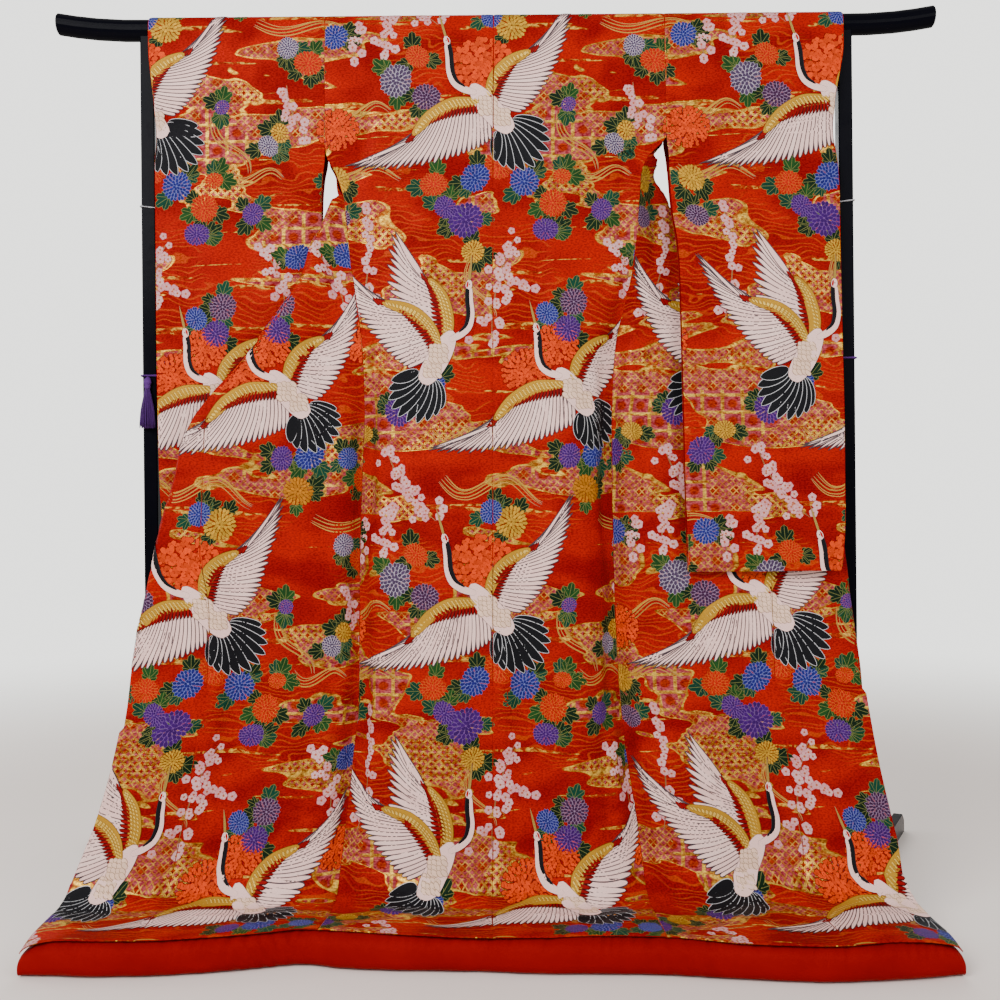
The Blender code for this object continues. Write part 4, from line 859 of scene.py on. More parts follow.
# ---------------------------------------------------------------- hem roll
# The fuki: the red lining carried round a long roll of cotton wadding along the hem, thinner at its ends.
# Its seam draws the silk into small puckers, and the wadding lies a little uneven.
ROLL_DEEP, ROLL_HIGH = 0.070, 0.0588
fuki_silk, dye, shader, output = finish("hem_silk")
spot = dye.spot()
woven = {"Vector": spot, "Scale": 420.0, "Distortion": 1.5}
weft = dye.node("TexWave", {"bands_direction": "X"}, woven, 1)
mottle, tuck = spot.noise(11.0, 4.0), spot.spread(1, 0.25, 0.25).noise(60.0, 3.0)
feed(dye, shader, Base_Color=mottle.tint((0.17, 0.0, 0.0, 1), (0.28, 0.0, 0.0, 1)),
     Roughness=0.62 - mottle * 0.12, Specular_IOR_Level=0.04, Normal=(weft * 0.12 + tuck).bump(0.7, 0.0022))
x = np.linspace(HEM_ENDS[0], HEM_ENDS[1], 520)
tight = 0.00025 * np.arange(1, 12) ** 1.4
x = np.sort(np.concatenate([x, HEM_ENDS[0] + tight, HEM_ENDS[1] - tight]))
angle = np.linspace(0, 2 * np.pi, 44, endpoint=False)
table = np.array(HEM)
t = taper(x)[:, None]
front = spline(x, table[:, 0], table[:, 2])[:, None]
high, deep = ROLL_HIGH - (1 - t) * 0.066, ROLL_DEEP * (0.55 + 0.45 * t)
c, s = np.cos(angle)[None], np.sin(angle)[None]
x = x[:, None]


def ripple(rate, bent, bend_rate, shift=0.0):
    """A sine wave along the roll whose spacing itself changes as a slower sine."""
    return np.sin(x * rate + bent * np.sin(x * bend_rate) + shift)


# the wadding: broad swells along the roll, and puckers that fan down from the seam on top of its front
swell = 1 + 0.016 * ripple(17, 1.2, 5) + 0.011 * ripple(43, 2.0, 9)
pucker = 0.030 * ripple(300, 3.0, 37, 0.8 * c) * soft(s, -0.1, 0.8) * soft(c, -0.6, 0.5)
pucker = pucker + 0.018 * ripple(96, 2.0, 23, 2.5 * s) * soft(c, -0.5, 0.4)
drawn = bell(x, -0.395, 0.060) + 0.7 * bell(x, 0.30, 0.050)
pucker = pucker + 0.045 * drawn * ripple(230, 2.0, 31, 5.0 * s) * soft(c, -0.6, 0.4)
dent = -0.030 * bell(x, 0.31, 0.02) - 0.022 * bell(x, -0.43, 0.03)
full = np.clip(swell + pucker + dent * soft(-c, -0.2, 0.8) - 0.012, 0.86, 1.02)
e = 0.72
y = front + deep / 2 - deep / 2 * np.sign(c) * np.abs(c) ** e * full
z = high / 2 + high / 2 * np.sign(s) * np.abs(s) ** e * np.where(s > 0, np.minimum(full, 1.0), 1.0)
points = np.stack([np.broadcast_to(x, y.shape), y + SHIFT_Y, z], -1).reshape(-1, 3)
ring = np.arange(y.size).reshape(y.shape)
faces = quads(*y.shape, round_cols=1)[:, ::-1].tolist() + [tuple(ring[0]), tuple(ring[-1][::-1])]
fuki = solid_mesh("hem_roll", points, faces, fuki_silk)
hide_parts("fuki")
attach(fuki, "root")

# ---------------------------------------------------------------- figures of the brocade
# Cranes over chrysanthemums, peonies, plum sprays and streams, in floss silk and gold thread. Every
# feather, petal and leaf is one raised patch of satin stitch with a fine outline, over the woven ground.
REPEAT = (650.0, 926.0)       # the pattern repeats across and along the loom; figures are in millimetres
silk_thread, dye, shader, output = finish("silk_thread")
tint, metal = dye.held("tint", 0), dye.held("tint", 3)
line, wide = dye.held("outline", 0), dye.held("outline", 3)
place = dye.uv("thread")
along, off = place.axis(0), place.axis(1)
off = off.math("ABSOLUTE", off)
border = ((dye.held("half") - off) / wide).rise(1.15, 0.85)
border = border.math("MAXIMUM", border, off.rise(0.42, 0.28) * dye.held("quill"))
stitch = dye.math("SINE", along * 9.0 + off * 14.0)
# Streaks along the stitches, painted lighter and darker as sheen and shade on the floss; the same streaks
# raise its relief.
floss_streaks = place.spread(0.6, 4.0, 1).noise(0.9, 3.0)
shade = floss_streaks.rise(0.25, 0.75).tint((0.66, 0.64, 0.64, 1), (1.08, 1.08, 1.08, 1))
relief = stitch * 0.35 + (border * 0.6) + floss_streaks * 0.6
feed(dye, shader, Base_Color=border.tint(tint.times(shade), line), Metallic=metal * 0.8,
     Roughness=0.52 - metal * 0.16, Normal=relief.bump(0.45, 0.0002), Specular_IOR_Level=0.07)

WHITE, CREAM, TAN = (0.95, 0.63, 0.57), (0.88, 0.60, 0.44), (0.30, 0.17, 0.10)
BLACK, SILVER, DARK = (0.006, 0.006, 0.008), (0.50, 0.50, 0.52), (0.11, 0.0, 0.003)
BAND = (0.23, 0.001, 0.002)
GOLD, LEAF_EDGE, SMOKE = (0.46, 0.24, 0.018), (0.17, 0.17, 0.045), (0.050, 0.036, 0.044)
patches = []
dice = np.random.default_rng(11)


def curve(line, q):
    """Points at shares q along a line: straight for two points, a parabola for three, smooth for more."""
    line, q = np.asarray(line, float), np.asarray(q, float)[:, None]
    if len(line) == 2:
        return line[0] + (line[1] - line[0]) * q
    if len(line) == 3:
        return line[0] * (1 - q) ** 2 + line[1] * 2 * q * (1 - q) + line[2] * q * q
    d = np.concatenate([[0], np.cumsum(np.linalg.norm(np.diff(line, axis=0), axis=1))])
    return np.stack([spline(q[:, 0] * d[-1], d, line[:, k]) for k in (0, 1)], -1)


def patch(line, wide, colour, lift, outline=SMOKE, border=0.3, shape=(0.5, 0.5), metal=0.0, quill=0.0,
          step=6.0, camber=0.12):
    """One patch along a line. Its width follows q^a (1 - q)^b, scaled so that its widest is wide, and its
    middle stands a camber above its edges. lift is the height over the cloth in millimetres."""
    rough = curve(line, np.linspace(0, 1, 9))
    size = float(np.linalg.norm(np.diff(rough, axis=0), axis=1).sum())
    q = np.linspace(0, 1, int(np.clip(np.ceil(size / step) + 2, 4, 60)))
    q = q + (0.5 - 0.5 * np.cos(np.pi * q) - q) * 0.55
    middle = curve(line, q)
    way = normed(np.gradient(middle, axis=0))
    a, b = shape
    top = (a / (a + b)) ** a * (b / (a + b)) ** b
    half = np.maximum(wide / 2 * q ** a * (1 - q) ** b / top, 0.10)
    aside = np.stack([way[:, 1], -way[:, 0]], -1) * half[:, None]
    uv = np.stack([middle - aside, middle, middle + aside], 1)
    high = np.broadcast_to([lift - camber / 2, lift + camber / 2, lift - camber / 2], half.shape + (3,))
    thread = np.stack(np.broadcast_arrays((q * size)[:, None], half[:, None] * [-1.0, 0.0, 1.0]), -1)
    count = len(q) * 3
    patches.append((uv.reshape(-1, 2), high.reshape(-1), thread.reshape(-1, 2), np.repeat(half, 3),
                    np.tile((*colour, metal), (count, 1)), np.tile((*outline, border), (count, 1)),
                    np.full(count, quill), len(q)))


def vary(colour, much=0.12):
    """The colour a little lighter or darker, as dye lots and light on the floss make it."""
    return tuple(np.clip(np.array(colour) * (1 + dice.uniform(-much, much)), 0, 0.95))


def unit(angle):
    """Unit vectors at those angles, in degrees, clockwise from straight across the loom."""
    angle = np.radians(angle)
    return np.stack([np.cos(angle), np.sin(angle)], -1)


def wing(root, ahead, side, opened, long, reach, count, lift, step):
    """A spread wing. Its leading edge leaves the root at opened degrees from the line of flight and bends
    back by 36 more. The flight feathers fan from 148 degrees to 60 and grow outward, dark coverts hide
    their roots, and gilded scales lie along the edge."""
    def edge(s):
        s = np.asarray(s, float)
        return root + long * s[:, None] * unit(ahead + side * (opened + 36.0 * s))

    q = np.linspace(0, 1, count)
    foot, way = edge(q), unit(ahead + side * (148.0 - (88.0 - opened * 0.3) * q ** 1.2))
    reach = reach * (0.50 + 0.50 * np.sin(np.pi / 2 * q ** 0.8))[:, None]
    tip = foot + way * reach
    foot_gap = long / count
    for k in range(count):
        after, before = min(k + 1, count - 1), max(k - 1, 0)
        tip_gap = np.linalg.norm(tip[after] - tip[before]) / (after - before)
        far = reach[k] * (1 + (0.05 if k % 2 else -0.02) * q[k])
        mid = foot[k] + unit(ahead + side * 180.0) * far * 0.05 + way[k] * far * 0.5
        wide = np.clip(0.50 * foot_gap + 0.80 * tip_gap, 6.5, 14.5)
        patch([foot[k], mid, foot[k] + way[k] * far], wide, vary(WHITE, 0.06), lift + step * k, SMOKE, 1.7,
              (0.30 + 0.10 * q[k], 0.30 + 0.45 * q[k] ** 2), step=7.0, camber=0.02)
    lift = lift + step * count
    for k in range(count):
        far = 10 + 11 * np.sin(np.pi * (0.12 + 0.80 * q[k]))
        patch([foot[k] - way[k] * 7, foot[k] + way[k] * far], foot_gap * 1.25, vary(BAND, 0.2),
              lift + 0.020 * (k % 2), (0.045, 0.0, 0.0), 1.3, (0.20, 0.34), step=9.0, camber=0.10)
    inward = unit(ahead + side * 120.0)
    front = edge([0.04, 0.36, 0.68, 1.0]) - inward * 9.0
    patch(front, 25.0, GOLD, lift + 0.06, (0.16, 0.07, 0.01), 0.9, (0.42, 0.42), metal=0.3)
    for number, s in enumerate(np.linspace(0.06, 0.94, int(long / 2.6))):
        point = curve(front, np.array([s]))[0]
        point = point + inward * 5.8 * (number % 3 - 1) * (1 - (2 * s - 1) ** 2) ** 0.5
        patch([point - 2.8, point + 2.8], 4.6, (0.72, 0.48, 0.09), lift + 0.16 + 0.01 * (number % 3),
              (0.20, 0.09, 0.01), 0.8, metal=0.4)


def crane(u, v, ahead, scale, bend, wings):
    """A crane in flight towards ahead, by rule: a fan of black tail plumes, the wings, the body with its
    scales, the neck as part of a sine wave, and the head and beak. The neck leaves the body to side bend."""
    def spot(along, aside):
        return np.array([u, v]) + (unit(ahead) * along + unit(ahead + 90.0) * aside) * scale

    for k in range(10):
        angle, far = ahead + 180.0 + (k - 4.5) * 9.6, scale * (50 + 48 * np.sin(np.pi * (k + 0.5) / 10))
        foot = spot(-44.0, (4.5 - k) * 4.0)
        patch([foot, foot + unit(angle - 9.0 * bend) * far * 0.5, foot + unit(angle) * far], 23.0, BLACK,
              1.05 + 0.038 * k, SILVER, 0.95, (0.50, 0.60), step=5.0, camber=0.03)
    for side, opened, long, reach, count, lift, step in wings:
        wing(spot(6.0, side * 7.0), ahead, side, opened, long, reach, count, lift, step)
    patch([spot(-62, 0), spot(-4, bend * 5), spot(56, 0)], 42.0, WHITE, 1.48, SMOKE, 0.5, (0.35, 0.45),
          step=7.0)
    for along, aside, size in ((4.0, -2.0, 13.0), (-28.0, 3.0, 12.0)):
        for row in range(4):
            for column in range(4):
                point = spot(along, aside) + np.array([column - 1.5, row - 1.5]) * size * 0.62
                point = point + dice.uniform(-1.2, 1.2, 2)
                patch([point - size * 0.42, point + size * 0.42], size * 0.80, vary(CREAM, 0.08),
                      1.64 + 0.03 * (row + column), TAN, 1.1, (0.4, 0.4), step=4.0, camber=0.03)
    t = np.linspace(0, 1, 6)
    neck = [(36 + 110 * s, bend * 19 * np.sin(1.35 * np.pi * s)) for s in t]
    patch([spot(x, y + bend * 3.0) for x, y in neck], 14.0, WHITE, 1.70, shape=(0.16, 0.22))
    patch([spot(x, y - bend * 2.5) for x, y in neck[1:]], 8.5, BLACK, 1.80, shape=(0.40, 0.20))
    head, way = spot(149, -bend * 18), unit(ahead - 24.0 * bend)
    crown = np.array([way[1], -way[0]]) * (1 if way[0] > 0 else -1)
    patch([head - way * 9, head + way * 10], 12.5, WHITE, 1.86, shape=(0.45, 0.6), step=4.0)
    beak, comb = (0.34, 0.22, 0.04), (0.40, 0.0, 0.0)
    patch([head + way * 6, head + way * 58 * scale], 4.6, beak, 1.90, TAN, shape=(0.25, 0.8), step=8.0)
    patch([head - way * 6 + crown * 3.0, head + way * 6 + crown * 2.2], 4.0, comb, 1.95, DARK, step=4.0)
    patch([head - way - crown * 1.2, head + way * 2.4 - crown], 2.0, BLACK, 2.00, BLACK, 0.25, step=3.0)


# petal and outline of each kind of chrysanthemum
MUMS = {"purple": ((0.040, 0.004, 0.110), (0.15, 0.065, 0.24)),
        "blue": ((0.010, 0.011, 0.14), (0.13, 0.15, 0.40)),
        "orange": ((0.40, 0.008, 0.0), (0.56, 0.085, 0.006)),
        "gold": ((0.50, 0.27, 0.022), (0.17, 0.06, 0.004)),
        "grey": ((0.060, 0.036, 0.080), (0.42, 0.37, 0.46)),
        "plum": ((0.040, 0.009, 0.040), (0.24, 0.16, 0.26)),
        "amber": ((0.42, 0.15, 0.006), (0.14, 0.035, 0.001))}


def mum(u, v, size, kind, squash=1.0, lift=0.45):
    """A chrysanthemum: rings of narrow petals, the outer ones lowest, each with a pale outline."""
    main, edge = MUMS[kind]
    turn = dice.uniform(0, 6.28)
    rings, wide = (4, size * 0.235) if size > 21 else (3, size * 0.30)
    for ring in range(rings):
        outer = size * (1 - 0.94 / rings * ring)
        inner = max(outer - size * 0.42, size * 0.02)
        count = max(int(2 * np.pi * (outer + inner) / 2 / (wide * 0.92)), 6)
        for k in range(count):
            angle = 2 * np.pi * (k + 0.5 * (ring % 2)) / count + dice.uniform(-0.04, 0.04) + turn
            way = np.array([np.cos(angle), np.sin(angle)])
            reach = outer * dice.uniform(0.93, 1.03)
            ends = np.array([way * inner, way * reach])
            along = np.array([np.cos(turn), np.sin(turn)])
            ends = ends - np.outer(ends @ along, along) * (1 - squash)
            patch(ends + [u, v], wide, vary(main, 0.2), lift + 0.10 * ring + 0.020 * (k % 3), edge, 0.68,
                  (0.75, 0.35), metal=0.35 if kind in ("gold", "amber") else 0.0, step=8.0)
    patch([(u - 1.5, v), (u + 1.5, v)], 3.2, edge, lift + 0.44, edge, step=3.0)


def peony(u, v, size, squash=0.92):
    """A full peony of curled petals, each leaning a little aside."""
    for ring in range(8):
        outer = size * (1 - 0.118 * ring)
        count = max(int(2 * np.pi * outer / (size * 0.20)), 5)
        for k in range(count):
            angle = 2 * np.pi * (k + 0.5 * (ring % 2)) / count + dice.uniform(-0.10, 0.10)
            way = np.array([np.cos(angle), np.sin(angle)]) * [1.0, squash]
            aside = np.array([-way[1], way[0]]) * dice.uniform(-0.10, 0.16) * size
            foot, top = way * (outer - size * 0.24), way * outer + aside
            line = np.array([foot, (foot + top) / 2 - aside * 0.5, top]) + [u, v]
            patch(line, size * 0.205, vary((0.64, 0.045, 0.0), 0.26), 0.36 + 0.03 * ring + 0.015 * (k % 3),
                  (0.12, 0.0, 0.0), 1.3, (0.6, 0.35), step=8.0)


LEAVES = {"dark": (0.002, 0.013, 0.004), "teal": (0.002, 0.040, 0.022), "fresh": (0.008, 0.048, 0.008)}
# turn from the leaf's middle, reach and width in leaf lengths, lift
LOBES = ((-1.30, 0.58, 0.40, 0.26), (1.30, 0.58, 0.40, 0.26), (-0.66, 0.84, 0.44, 0.28),
         (0.66, 0.84, 0.44, 0.28), (0, 1.0, 0.48, 0.30))


def leaves(u, v, angle, size, kind="dark"):
    """A chrysanthemum leaf: five lobes, gilded round the edge and down the vein."""
    colour = LEAVES[kind]
    for turn, reach, wide, lift in LOBES:
        way = np.array([np.cos(angle + turn), np.sin(angle + turn)]) * size * reach
        patch([(u, v), (u + way[0], v + way[1])], size * wide, vary(colour, 0.25), lift, LEAF_EDGE, 0.70,
              (0.5, 0.36), quill=1.0, step=9.0)


def blossom(u, v, size):
    """A plum blossom: five round petals and a gilded eye."""
    turn, pale = dice.uniform(0, 6.28), dice.uniform(0, 1)
    colour = tuple(np.array((0.70, 0.42, 0.42)) * (1 - pale) + np.array((0.60, 0.26, 0.28)) * pale)
    for k in range(5):
        angle = turn + 2 * np.pi * k / 5
        way = np.array([np.cos(angle), np.sin(angle)]) * size
        patch([(u + way[0] * 0.05, v + way[1] * 0.05), (u + way[0], v + way[1])], size * 0.98, colour,
              0.30 + 0.015 * k, (0.42, 0.09, 0.11), 0.75, (0.55, 0.30), step=5.0)
    patch([(u - 2.2, v), (u + 2.2, v)], 4.4, (0.42, 0.08, 0.07), 0.44, GOLD, 0.5, metal=0.3, step=3.0)


def spray(u, v, ahead, long, bend, count, spread, size=8.6):
    """A bent plum twig about (u, v) with blossoms crowded about it."""
    ends = unit(ahead) * long / 2
    line = [[u, v] - ends, [u, v] + unit(ahead + 90.0) * bend * 2, [u, v] + ends]
    patch(line, 2.4, (0.22, 0.10, 0.03), 0.24, TAN, 0.3, (0.2, 0.3), metal=0.3, step=8.0)
    for k in range(count):
        q = (k + 0.5) / count
        point = curve(line, np.array([q]))[0] + dice.normal(0, spread * (0.45 + 0.55 * q), 2) * [1.0, 0.8]
        blossom(point[0], point[1], size * dice.uniform(0.78, 1.12))


def stream(u, v, ahead, long, swing, waves, count, apart, wide=2.0, colour=GOLD):
    """Water: gold lines along a sine wave about (u, v) that run close, part and meet again."""
    q = np.linspace(0, 1, 17)
    middle = [u, v] + (long * (q - 0.5))[:, None] * unit(ahead)
    middle = middle + (swing * np.sin(2 * np.pi * waves * q))[:, None] * unit(ahead + 90.0)
    way = normed(np.gradient(middle, axis=0))
    aside = np.stack([way[:, 1], -way[:, 0]], -1)
    for k in range(count):
        off = (k - (count - 1) / 2) * apart * (0.55 + 0.45 * np.sin(np.pi * q + 0.6 * k))
        patch(middle + aside * off[:, None], wide * dice.uniform(0.7, 1.5), vary(colour, 0.2), 0.20, TAN,
              shape=(0.35, 0.45), metal=0.3)


# place, line of flight, scale and neck, then for each wing: side, opened, length of its edge, reach of its
# feathers, how many, lift and its step
crane(-5, 195, -130.0, 1.0, -1,
      ((1, 44.0, 128, 120, 25, 0.50, 0.030), (-1, 38.0, 152, 126, 28, 0.54, 0.030)))
crane(-100, 660, -60.0, 0.95, 1,
      ((-1, 4.0, 138, 108, 21, 0.36, 0.020), (-1, 44.0, 146, 122, 25, 0.80, 0.024)))
crane(150, 725, -128.0, 0.90, -1,
      ((1, 42.0, 124, 112, 22, 0.50, 0.030), (-1, 40.0, 156, 126, 29, 0.54, 0.030)))
for place in ((-20, 118, 62), (62, 690, 48), (116, 640, 44), (-292, 236, 44), (290, 632, 42)):
    peony(*place)
for u, v, size, kind in (
        (-181, 144, 34, "grey"), (-124, 176, 29, "plum"), (-142, 99, 25, "orange"), (34, 40, 31, "gold"),
        (-4, 21, 24, "blue"), (-33, 328, 30, "blue"), (58, 336, 29, "blue"), (-110, 340, 27, "orange"),
        (-88, 384, 24, "purple"), (-50, 407, 36, "purple"), (-37, 467, 23, "gold"),
        (111, 377, 27, "orange"), (97, 426, 25, "purple"), (128, 327, 18, "orange"),
        (201, 389, 22, "purple"), (225, 265, 22, "grey"), (-112, 714, 27, "blue"),
        (-174, 762, 29, "purple"), (100, 583, 24, "blue"), (149, 562, 27, "plum"),
        (137, 612, 27, "purple"), (247, 241, 20, "gold"), (140, 192, 15, "purple"),
        (141, 846, 24, "purple"), (191, 840, 30, "blue"), (205, 797, 22, "amber"),
        (173, 907, 30, "amber"), (-290, 330, 28, "gold"), (-286, 400, 24, "plum"),
        (300, 110, 28, "orange"), (262, 80, 22, "grey"), (286, 470, 27, "blue"),
        (-300, 838, 28, "purple"), (-256, 800, 22, "gold"), (300, 884, 26, "orange"),
        (264, 846, 22, "blue"), (-296, 60, 26, "blue")):
    mum(u, v, size, kind, dice.uniform(0.82, 1.0), 0.45 if size > 25 else 0.52)
    for k in range(dice.integers(3, 5)):
        angle = dice.uniform(0, 6.28)
        x, y = u + np.cos(angle) * size * 0.85, v + np.sin(angle) * size * 0.85
        leaves(x, y, angle + dice.uniform(-0.4, 0.4), dice.uniform(22, 31),
               ("dark", "dark", "teal", "fresh")[dice.integers(4)])
mum(11, 303, 30, "orange", 0.95, 0.34)
for row in ((20, 540, 102, 200, 14, 34, 21.0), (-244, 486, 94, 230, -12, 22, 13.0),
            (-150, 896, 55, 165, 14, 40, 17.0), (-190, 980, 100, 104, 12, 22, 13.0),
            (240, 512, 68, 128, -14, 20, 13.0), (282, 206, 68, 120, 10, 18, 13.0),
            (-250, 72, 100, 84, 8, 12, 11.0), (54, 520, 30, 78, 8, 8, 9.0)):
    spray(*row)
for row in ((0, 900, 8, 190, 22, 1.2, 5, 6.5), (-245, 200, 0, 110, 16, 1.0, 4, 6.0),
            (205, 318, 5, 105, 14, 1.0, 4, 6.0), (-25, 535, 75, 120, 18, 0.8, 3, 4.0),
            (-245, 316, 4, 150, 14, 1.1, 4, 6.0), (155, 262, 60, 130, 14, 0.9, 3, 7.0),
            (-65, 805, 10, 95, 16, 0.9, 3, 6.0), (290, 38, 4, 180, 12, 1.0, 4, 7.0)):
    stream(*row)

cell_uv, cell_high, cell_thread, cell_half, cell_tint, cell_line, cell_quill = (
    np.concatenate(column) for column in list(zip(*patches))[:7])
cell_uv, cell_high = cell_uv / 1000, cell_high / 1000
start, cell_faces = 0, []
for p in patches:
    i = start + np.arange(p[7] - 1)[:, None] * 3 + np.array([0, 1])
    cell_faces.append(np.stack([i, i + 1, i + 4, i + 3], -1).reshape(-1, 4))
    start += p[7] * 3
cell_faces = np.concatenate(cell_faces)


EDGE = 0.004             # share of a row that stays bare at each of its ends
NARROW = 0.004           # a row narrower than this stays bare


def work(part):
    """The figures that fall on one layer, for every repeat of the pattern that touches it: for each, which
    points of the cell they are, where they lie and which way the cloth faces there."""
    rows, cols = part["P"].shape[:2]
    low, high = part["V"][0], part["V"][-1]
    left = min(part["A"].min(), part["B"].min())
    right = max(part["A"].max(), part["B"].max())
    used, where, outs, faces, count = [], [], [], [], 0
    wide, long = REPEAT
    for i in range(int(np.floor(left / wide * 1000 - 0.6)), int(np.ceil(right / wide * 1000 + 0.6)) + 1):
        for j in range(int(np.floor(low / long * 1000)) - 1, int(np.ceil(high / long * 1000)) + 1):
            uv = cell_uv + [i * wide / 1000, j * long / 1000]
            row = np.interp(uv[:, 1], part["V"], np.arange(rows))
            k = np.minimum(row.astype(int), rows - 2)
            f = row - k
            a = part["A"][k] * (1 - f) + part["A"][k + 1] * f
            b = part["B"][k] * (1 - f) + part["B"][k + 1] * f
            t = (uv[:, 0] - a) / np.where(np.abs(b - a) < 1e-6, 1e-6, b - a)
            broad = np.abs(b - a) > NARROW
            inside = (t > EDGE) & (t < 1 - EDGE) & (uv[:, 1] > low) & (uv[:, 1] < high) & broad
            quad = cell_faces[inside[cell_faces].any(axis=1) & broad[cell_faces].all(axis=1)]
            if not len(quad):
                continue
            mine = np.unique(quad)
            again = np.zeros(len(uv), int)
            again[mine] = np.arange(len(mine)) + count
            column = np.interp(np.clip(t[mine], EDGE, 1 - EDGE), part["T"], np.arange(cols))
            c = np.minimum(column.astype(int), cols - 2)
            g, f, k = (column - c)[:, None], f[mine][:, None], k[mine]
            place = []
            for field in ("P", "N"):
                grid = part[field]
                place.append((grid[k, c] * (1 - g) + grid[k, c + 1] * g) * (1 - f)
                             + (grid[k + 1, c] * (1 - g) + grid[k + 1, c + 1] * g) * f)
            out = normed(place[1])
            where.append(place[0] + out * (WALL / 2 + cell_high[mine])[:, None])
            used.append(mine)
            outs.append(out)
            faces.append(again[quad])
            count += len(mine)
    used, where, outs, faces = (np.concatenate(x) for x in (used, where, outs, faces))
    a, b, d = where[faces[:, 0]], where[faces[:, 1]], where[faces[:, 3]]
    if (np.cross(b - a, d - a) * outs[faces[:, 0]]).sum() < 0:
        faces = faces[:, ::-1]
    return used, where, faces


for (kind, side), parts in layers.items():
    used, points, faces, count = [], [], [], 0
    for part in parts:
        mine, where, quad = work(part)
        used.append(mine)
        points.append(where)
        faces.append(quad + count)
        count += len(mine)
    used, points, faces = np.concatenate(used), np.concatenate(points), np.concatenate(faces)
    points[:, 1] += SHIFT_Y
    name = "figures_" + kind + {-1: "_left", 0: "", 1: "_right"}[side]
    figures = solid_mesh(name, points, faces.tolist(), silk_thread)
    mesh = figures.data
    for attribute, values in (("tint", cell_tint), ("outline", cell_line)):
        made = mesh.attributes.new(attribute, "FLOAT_COLOR", "POINT")
        made.data.foreach_set("color", values[used].reshape(-1))
    for attribute, values in (("half", cell_half), ("quill", cell_quill)):
        made = mesh.attributes.new(attribute, "FLOAT", "POINT")
        made.data.foreach_set("value", values[used])
    lay_uv(figures, "thread", cell_thread[used])
    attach(figures, "root")

# ---------------------------------------------------------------- ties and cords on the posts
# Two silver strings and two purple silk cords, each of two plies twisted together and tied round a post.
def ply_finish(name, dark, pale, metallic):
    """Twisted thread: slanting plies along the UV, with painted shade in the grooves between them."""
    made, dye, shader, output = finish(name)
    place = dye.uv("ply")
    twist_ridges = dye.math("SINE", place.axis(0) * 2400.0 + place.axis(1) * 6.2832 * 9.0)
    mottled = dye.spot().noise(320.0, 2.0)
    # Painted shade: the colour is darker in the grooves between the ridges; the mottle is the thread's own
    # tone.
    feed(dye, shader, Base_Color=(twist_ridges * 0.25 + mottled * 0.8).tint((*dark, 1), (*pale, 1)), Roughness=0.55,
         Metallic=metallic, Specular_IOR_Level=0.15, Normal=twist_ridges.bump(0.6, 0.0002))
    return made


purple_silk = ply_finish("purple_silk", (0.040, 0.010, 0.085), (0.120, 0.030, 0.230), 0.0)
silver_string = ply_finish("silver_string", (0.28, 0.28, 0.30), (0.62, 0.62, 0.64), 0.35)
POST_X, POST_WIDE, POST_DEEP = 0.65475, 0.0265, 0.0280
# name, node, side, height, thickness of the cord, distance of its middle from the post, slope, material
CORDS = (("string_left", "tie_left", -1, 1.334, 0.0013, 0.0022, 0.002, silver_string),
         ("string_right", "tie_right", 1, 1.334, 0.0013, 0.0022, 0.002, silver_string),
         ("silk_cord_left", "cord_left", -1, 1.018, 0.0020, 0.0028, 0.0, purple_silk),
         ("silk_cord_right", "cord_right", 1, 1.040, 0.0020, 0.0028, 0.0, purple_silk))
ALONG, ROUND = 240, 12       # points along a cord and round it
for name, node, side, height, thick, off, slope, material in CORDS:
    a = np.linspace(0, 2 * np.pi, ALONG, endpoint=False)
    c, s = np.cos(a), np.sin(a)
    box = np.stack([np.sign(c) * np.abs(c) ** 0.22, np.sign(s) * np.abs(s) ** 0.22], -1)
    path = np.stack([side * POST_X + (POST_WIDE / 2 + off) * box[:, 0],
                     (POST_DEEP / 2 + off) * box[:, 1] + SHIFT_Y, height + slope * side * box[:, 0]], -1)
    gone = np.concatenate([[0], np.cumsum(np.linalg.norm(np.roll(path, -1, 0) - path, axis=1))])
    way = np.roll(path, -1, 0) - np.roll(path, 1, 0)
    out = normed(np.cross(way, [0, 0, 1.0]))
    up = normed(np.cross(out, way))
    phi = np.linspace(0, 2 * np.pi, ROUND, endpoint=False)
    turns = np.round(gone[-1] / (thick * 7))
    twist = 2 * phi[None] - 2 * np.pi * turns * gone[:-1, None] / gone[-1]
    r = thick * (0.84 + 0.16 * np.cos(twist))[..., None]
    c, s = np.cos(phi)[None, :, None], np.sin(phi)[None, :, None]
    points = (path[:, None] + r * (c * out[:, None] + s * up[:, None])).reshape(-1, 3)
    cord = solid_mesh(name, points, quads(ALONG, ROUND, 1, 1).tolist(), material)
    flat = np.stack(np.broadcast_arrays(gone[:-1, None], phi[None] / (2 * np.pi)), -1).reshape(-1, 2)
    lay_uv(cord, "ply", flat)
    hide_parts(node)
    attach(cord, "root")

# ---------------------------------------------------------------- tassel
# Purple silk: a bundle of strands doubled over the cord, bound at the neck under a small round head.
TASSEL_X = -0.6575
# height, radius across, radius deep, Y of its middle
HEAD = ((1.0157, 0.0018, 0.0018, -0.0168), (1.0110, 0.0060, 0.0045, -0.0192),
        (1.0040, 0.0075, 0.0055, -0.0202), (0.9990, 0.0050, 0.0042, -0.0205),
        (0.9950, 0.0058, 0.0046, -0.0207), (0.9925, 0.0040, 0.0034, -0.0208))
strand_dice = np.random.default_rng(5)
table = np.array(HEAD)[::-1]
HEAD_RINGS = 40              # rings of the head, and points on each
z = np.linspace(HEAD[-1][0], HEAD[0][0], HEAD_RINGS)
rings = np.stack([spline(z, table[:, 0], table[:, c]) for c in (1, 2, 3)], -1)
phi = np.linspace(0, 2 * np.pi, HEAD_RINGS, endpoint=False)
groove = 1 - 0.05 * np.abs(np.sin(phi * 10))[None] * (np.abs(z - 0.998) > 0.002)[:, None]
wound = 1 + 0.10 * (np.abs(z - 0.9985) < 0.0022)[:, None] * (0.6 + 0.4 * np.cos(z * 7000))[:, None]
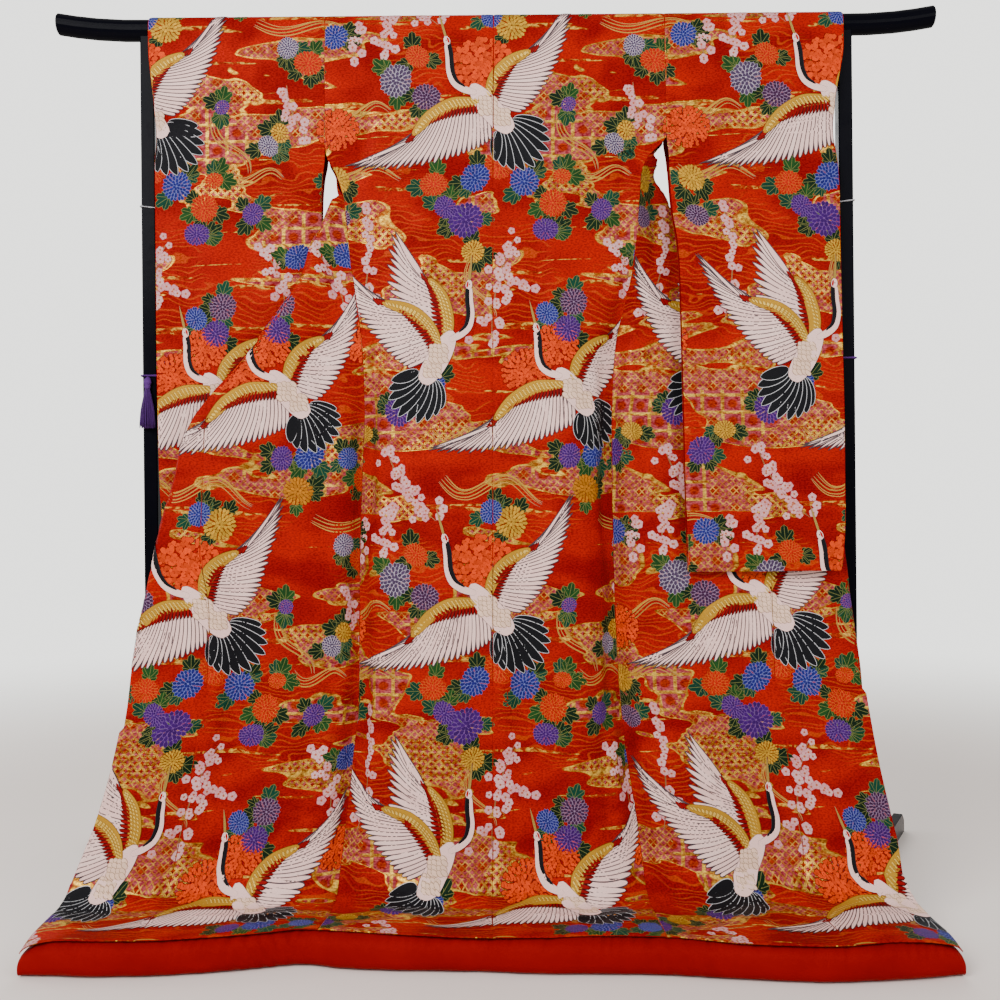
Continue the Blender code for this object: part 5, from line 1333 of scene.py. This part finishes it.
points = np.stack([TASSEL_X + rings[:, :1] * np.cos(phi) * groove * wound,
                   rings[:, 2:] + SHIFT_Y + rings[:, 1:2] * np.sin(phi) * groove * wound,
                   np.broadcast_to(z[:, None], (HEAD_RINGS, HEAD_RINGS))], -1).reshape(-1, 3)
quad = quads(HEAD_RINGS, HEAD_RINGS, round_cols=1)
flat = np.stack(np.broadcast_arrays(z[:, None], phi[None] / (2 * np.pi)), -1).reshape(-1, 2)
STRANDS, SIDES, STEPS, STRAND_R = 240, 4, 9, 0.00042
STRAND_TOP, STRAND_LOW, STRAND_Y = 0.9945, 0.9185, -0.0208
start = np.sqrt(strand_dice.uniform(0, 1, STRANDS))
angle = strand_dice.uniform(0, 2 * np.pi, STRANDS)
low = STRAND_LOW + strand_dice.uniform(0, 0.007, STRANDS)
q = np.linspace(0, 1, STEPS)
fall = STRAND_TOP + (low - STRAND_TOP)[:, None] * q
flare = np.sin(np.pi / 2 * q ** 1.1)
half_x = start[:, None] * (0.0040 + (0.0148 - 0.0040) * flare)
half_y = start[:, None] * (0.0034 + (0.0080 - 0.0034) * flare)
stray = strand_dice.uniform(-0.0006, 0.0006, (STRANDS, 2))
path_x = TASSEL_X + half_x * np.cos(angle)[:, None] + stray[:, :1] * np.sin(4 * q + 3)
path_y = STRAND_Y - 0.0026 * q + half_y * np.sin(angle)[:, None] + stray[:, 1:] * np.sin(5 * q) + SHIFT_Y
path = np.stack([path_x, path_y, fall], -1)
side = 2 * np.pi * np.arange(SIDES) / SIDES
ringed = path[:, :, None] + STRAND_R * np.stack([np.cos(side), np.sin(side), 0 * side], -1)
k = len(points) + np.arange(STRANDS * STEPS * SIDES).reshape(STRANDS, STEPS, SIDES)
turn = np.roll(k, -1, axis=2)
hair = np.stack([k[:, :-1], k[:, 1:], turn[:, 1:], turn[:, :-1]], -1).reshape(-1, 4)
tips = k[:, -1][:, ::-1].tolist()
points = np.concatenate([points, ringed.reshape(-1, 3)])
tassel = solid_mesh("tassel_strands", points, quad.tolist() + hair.tolist() + tips, purple_silk)
strand = np.stack([ringed[..., 2].reshape(-1), np.tile(side, STRANDS * STEPS) / 6.2832], -1)
flat = np.concatenate([flat, strand])
lay_uv(tassel, "ply", flat)
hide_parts("tassel")
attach(tassel, "root")


# ---------------------------------------------------------------- bounds of what is shown
low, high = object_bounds()
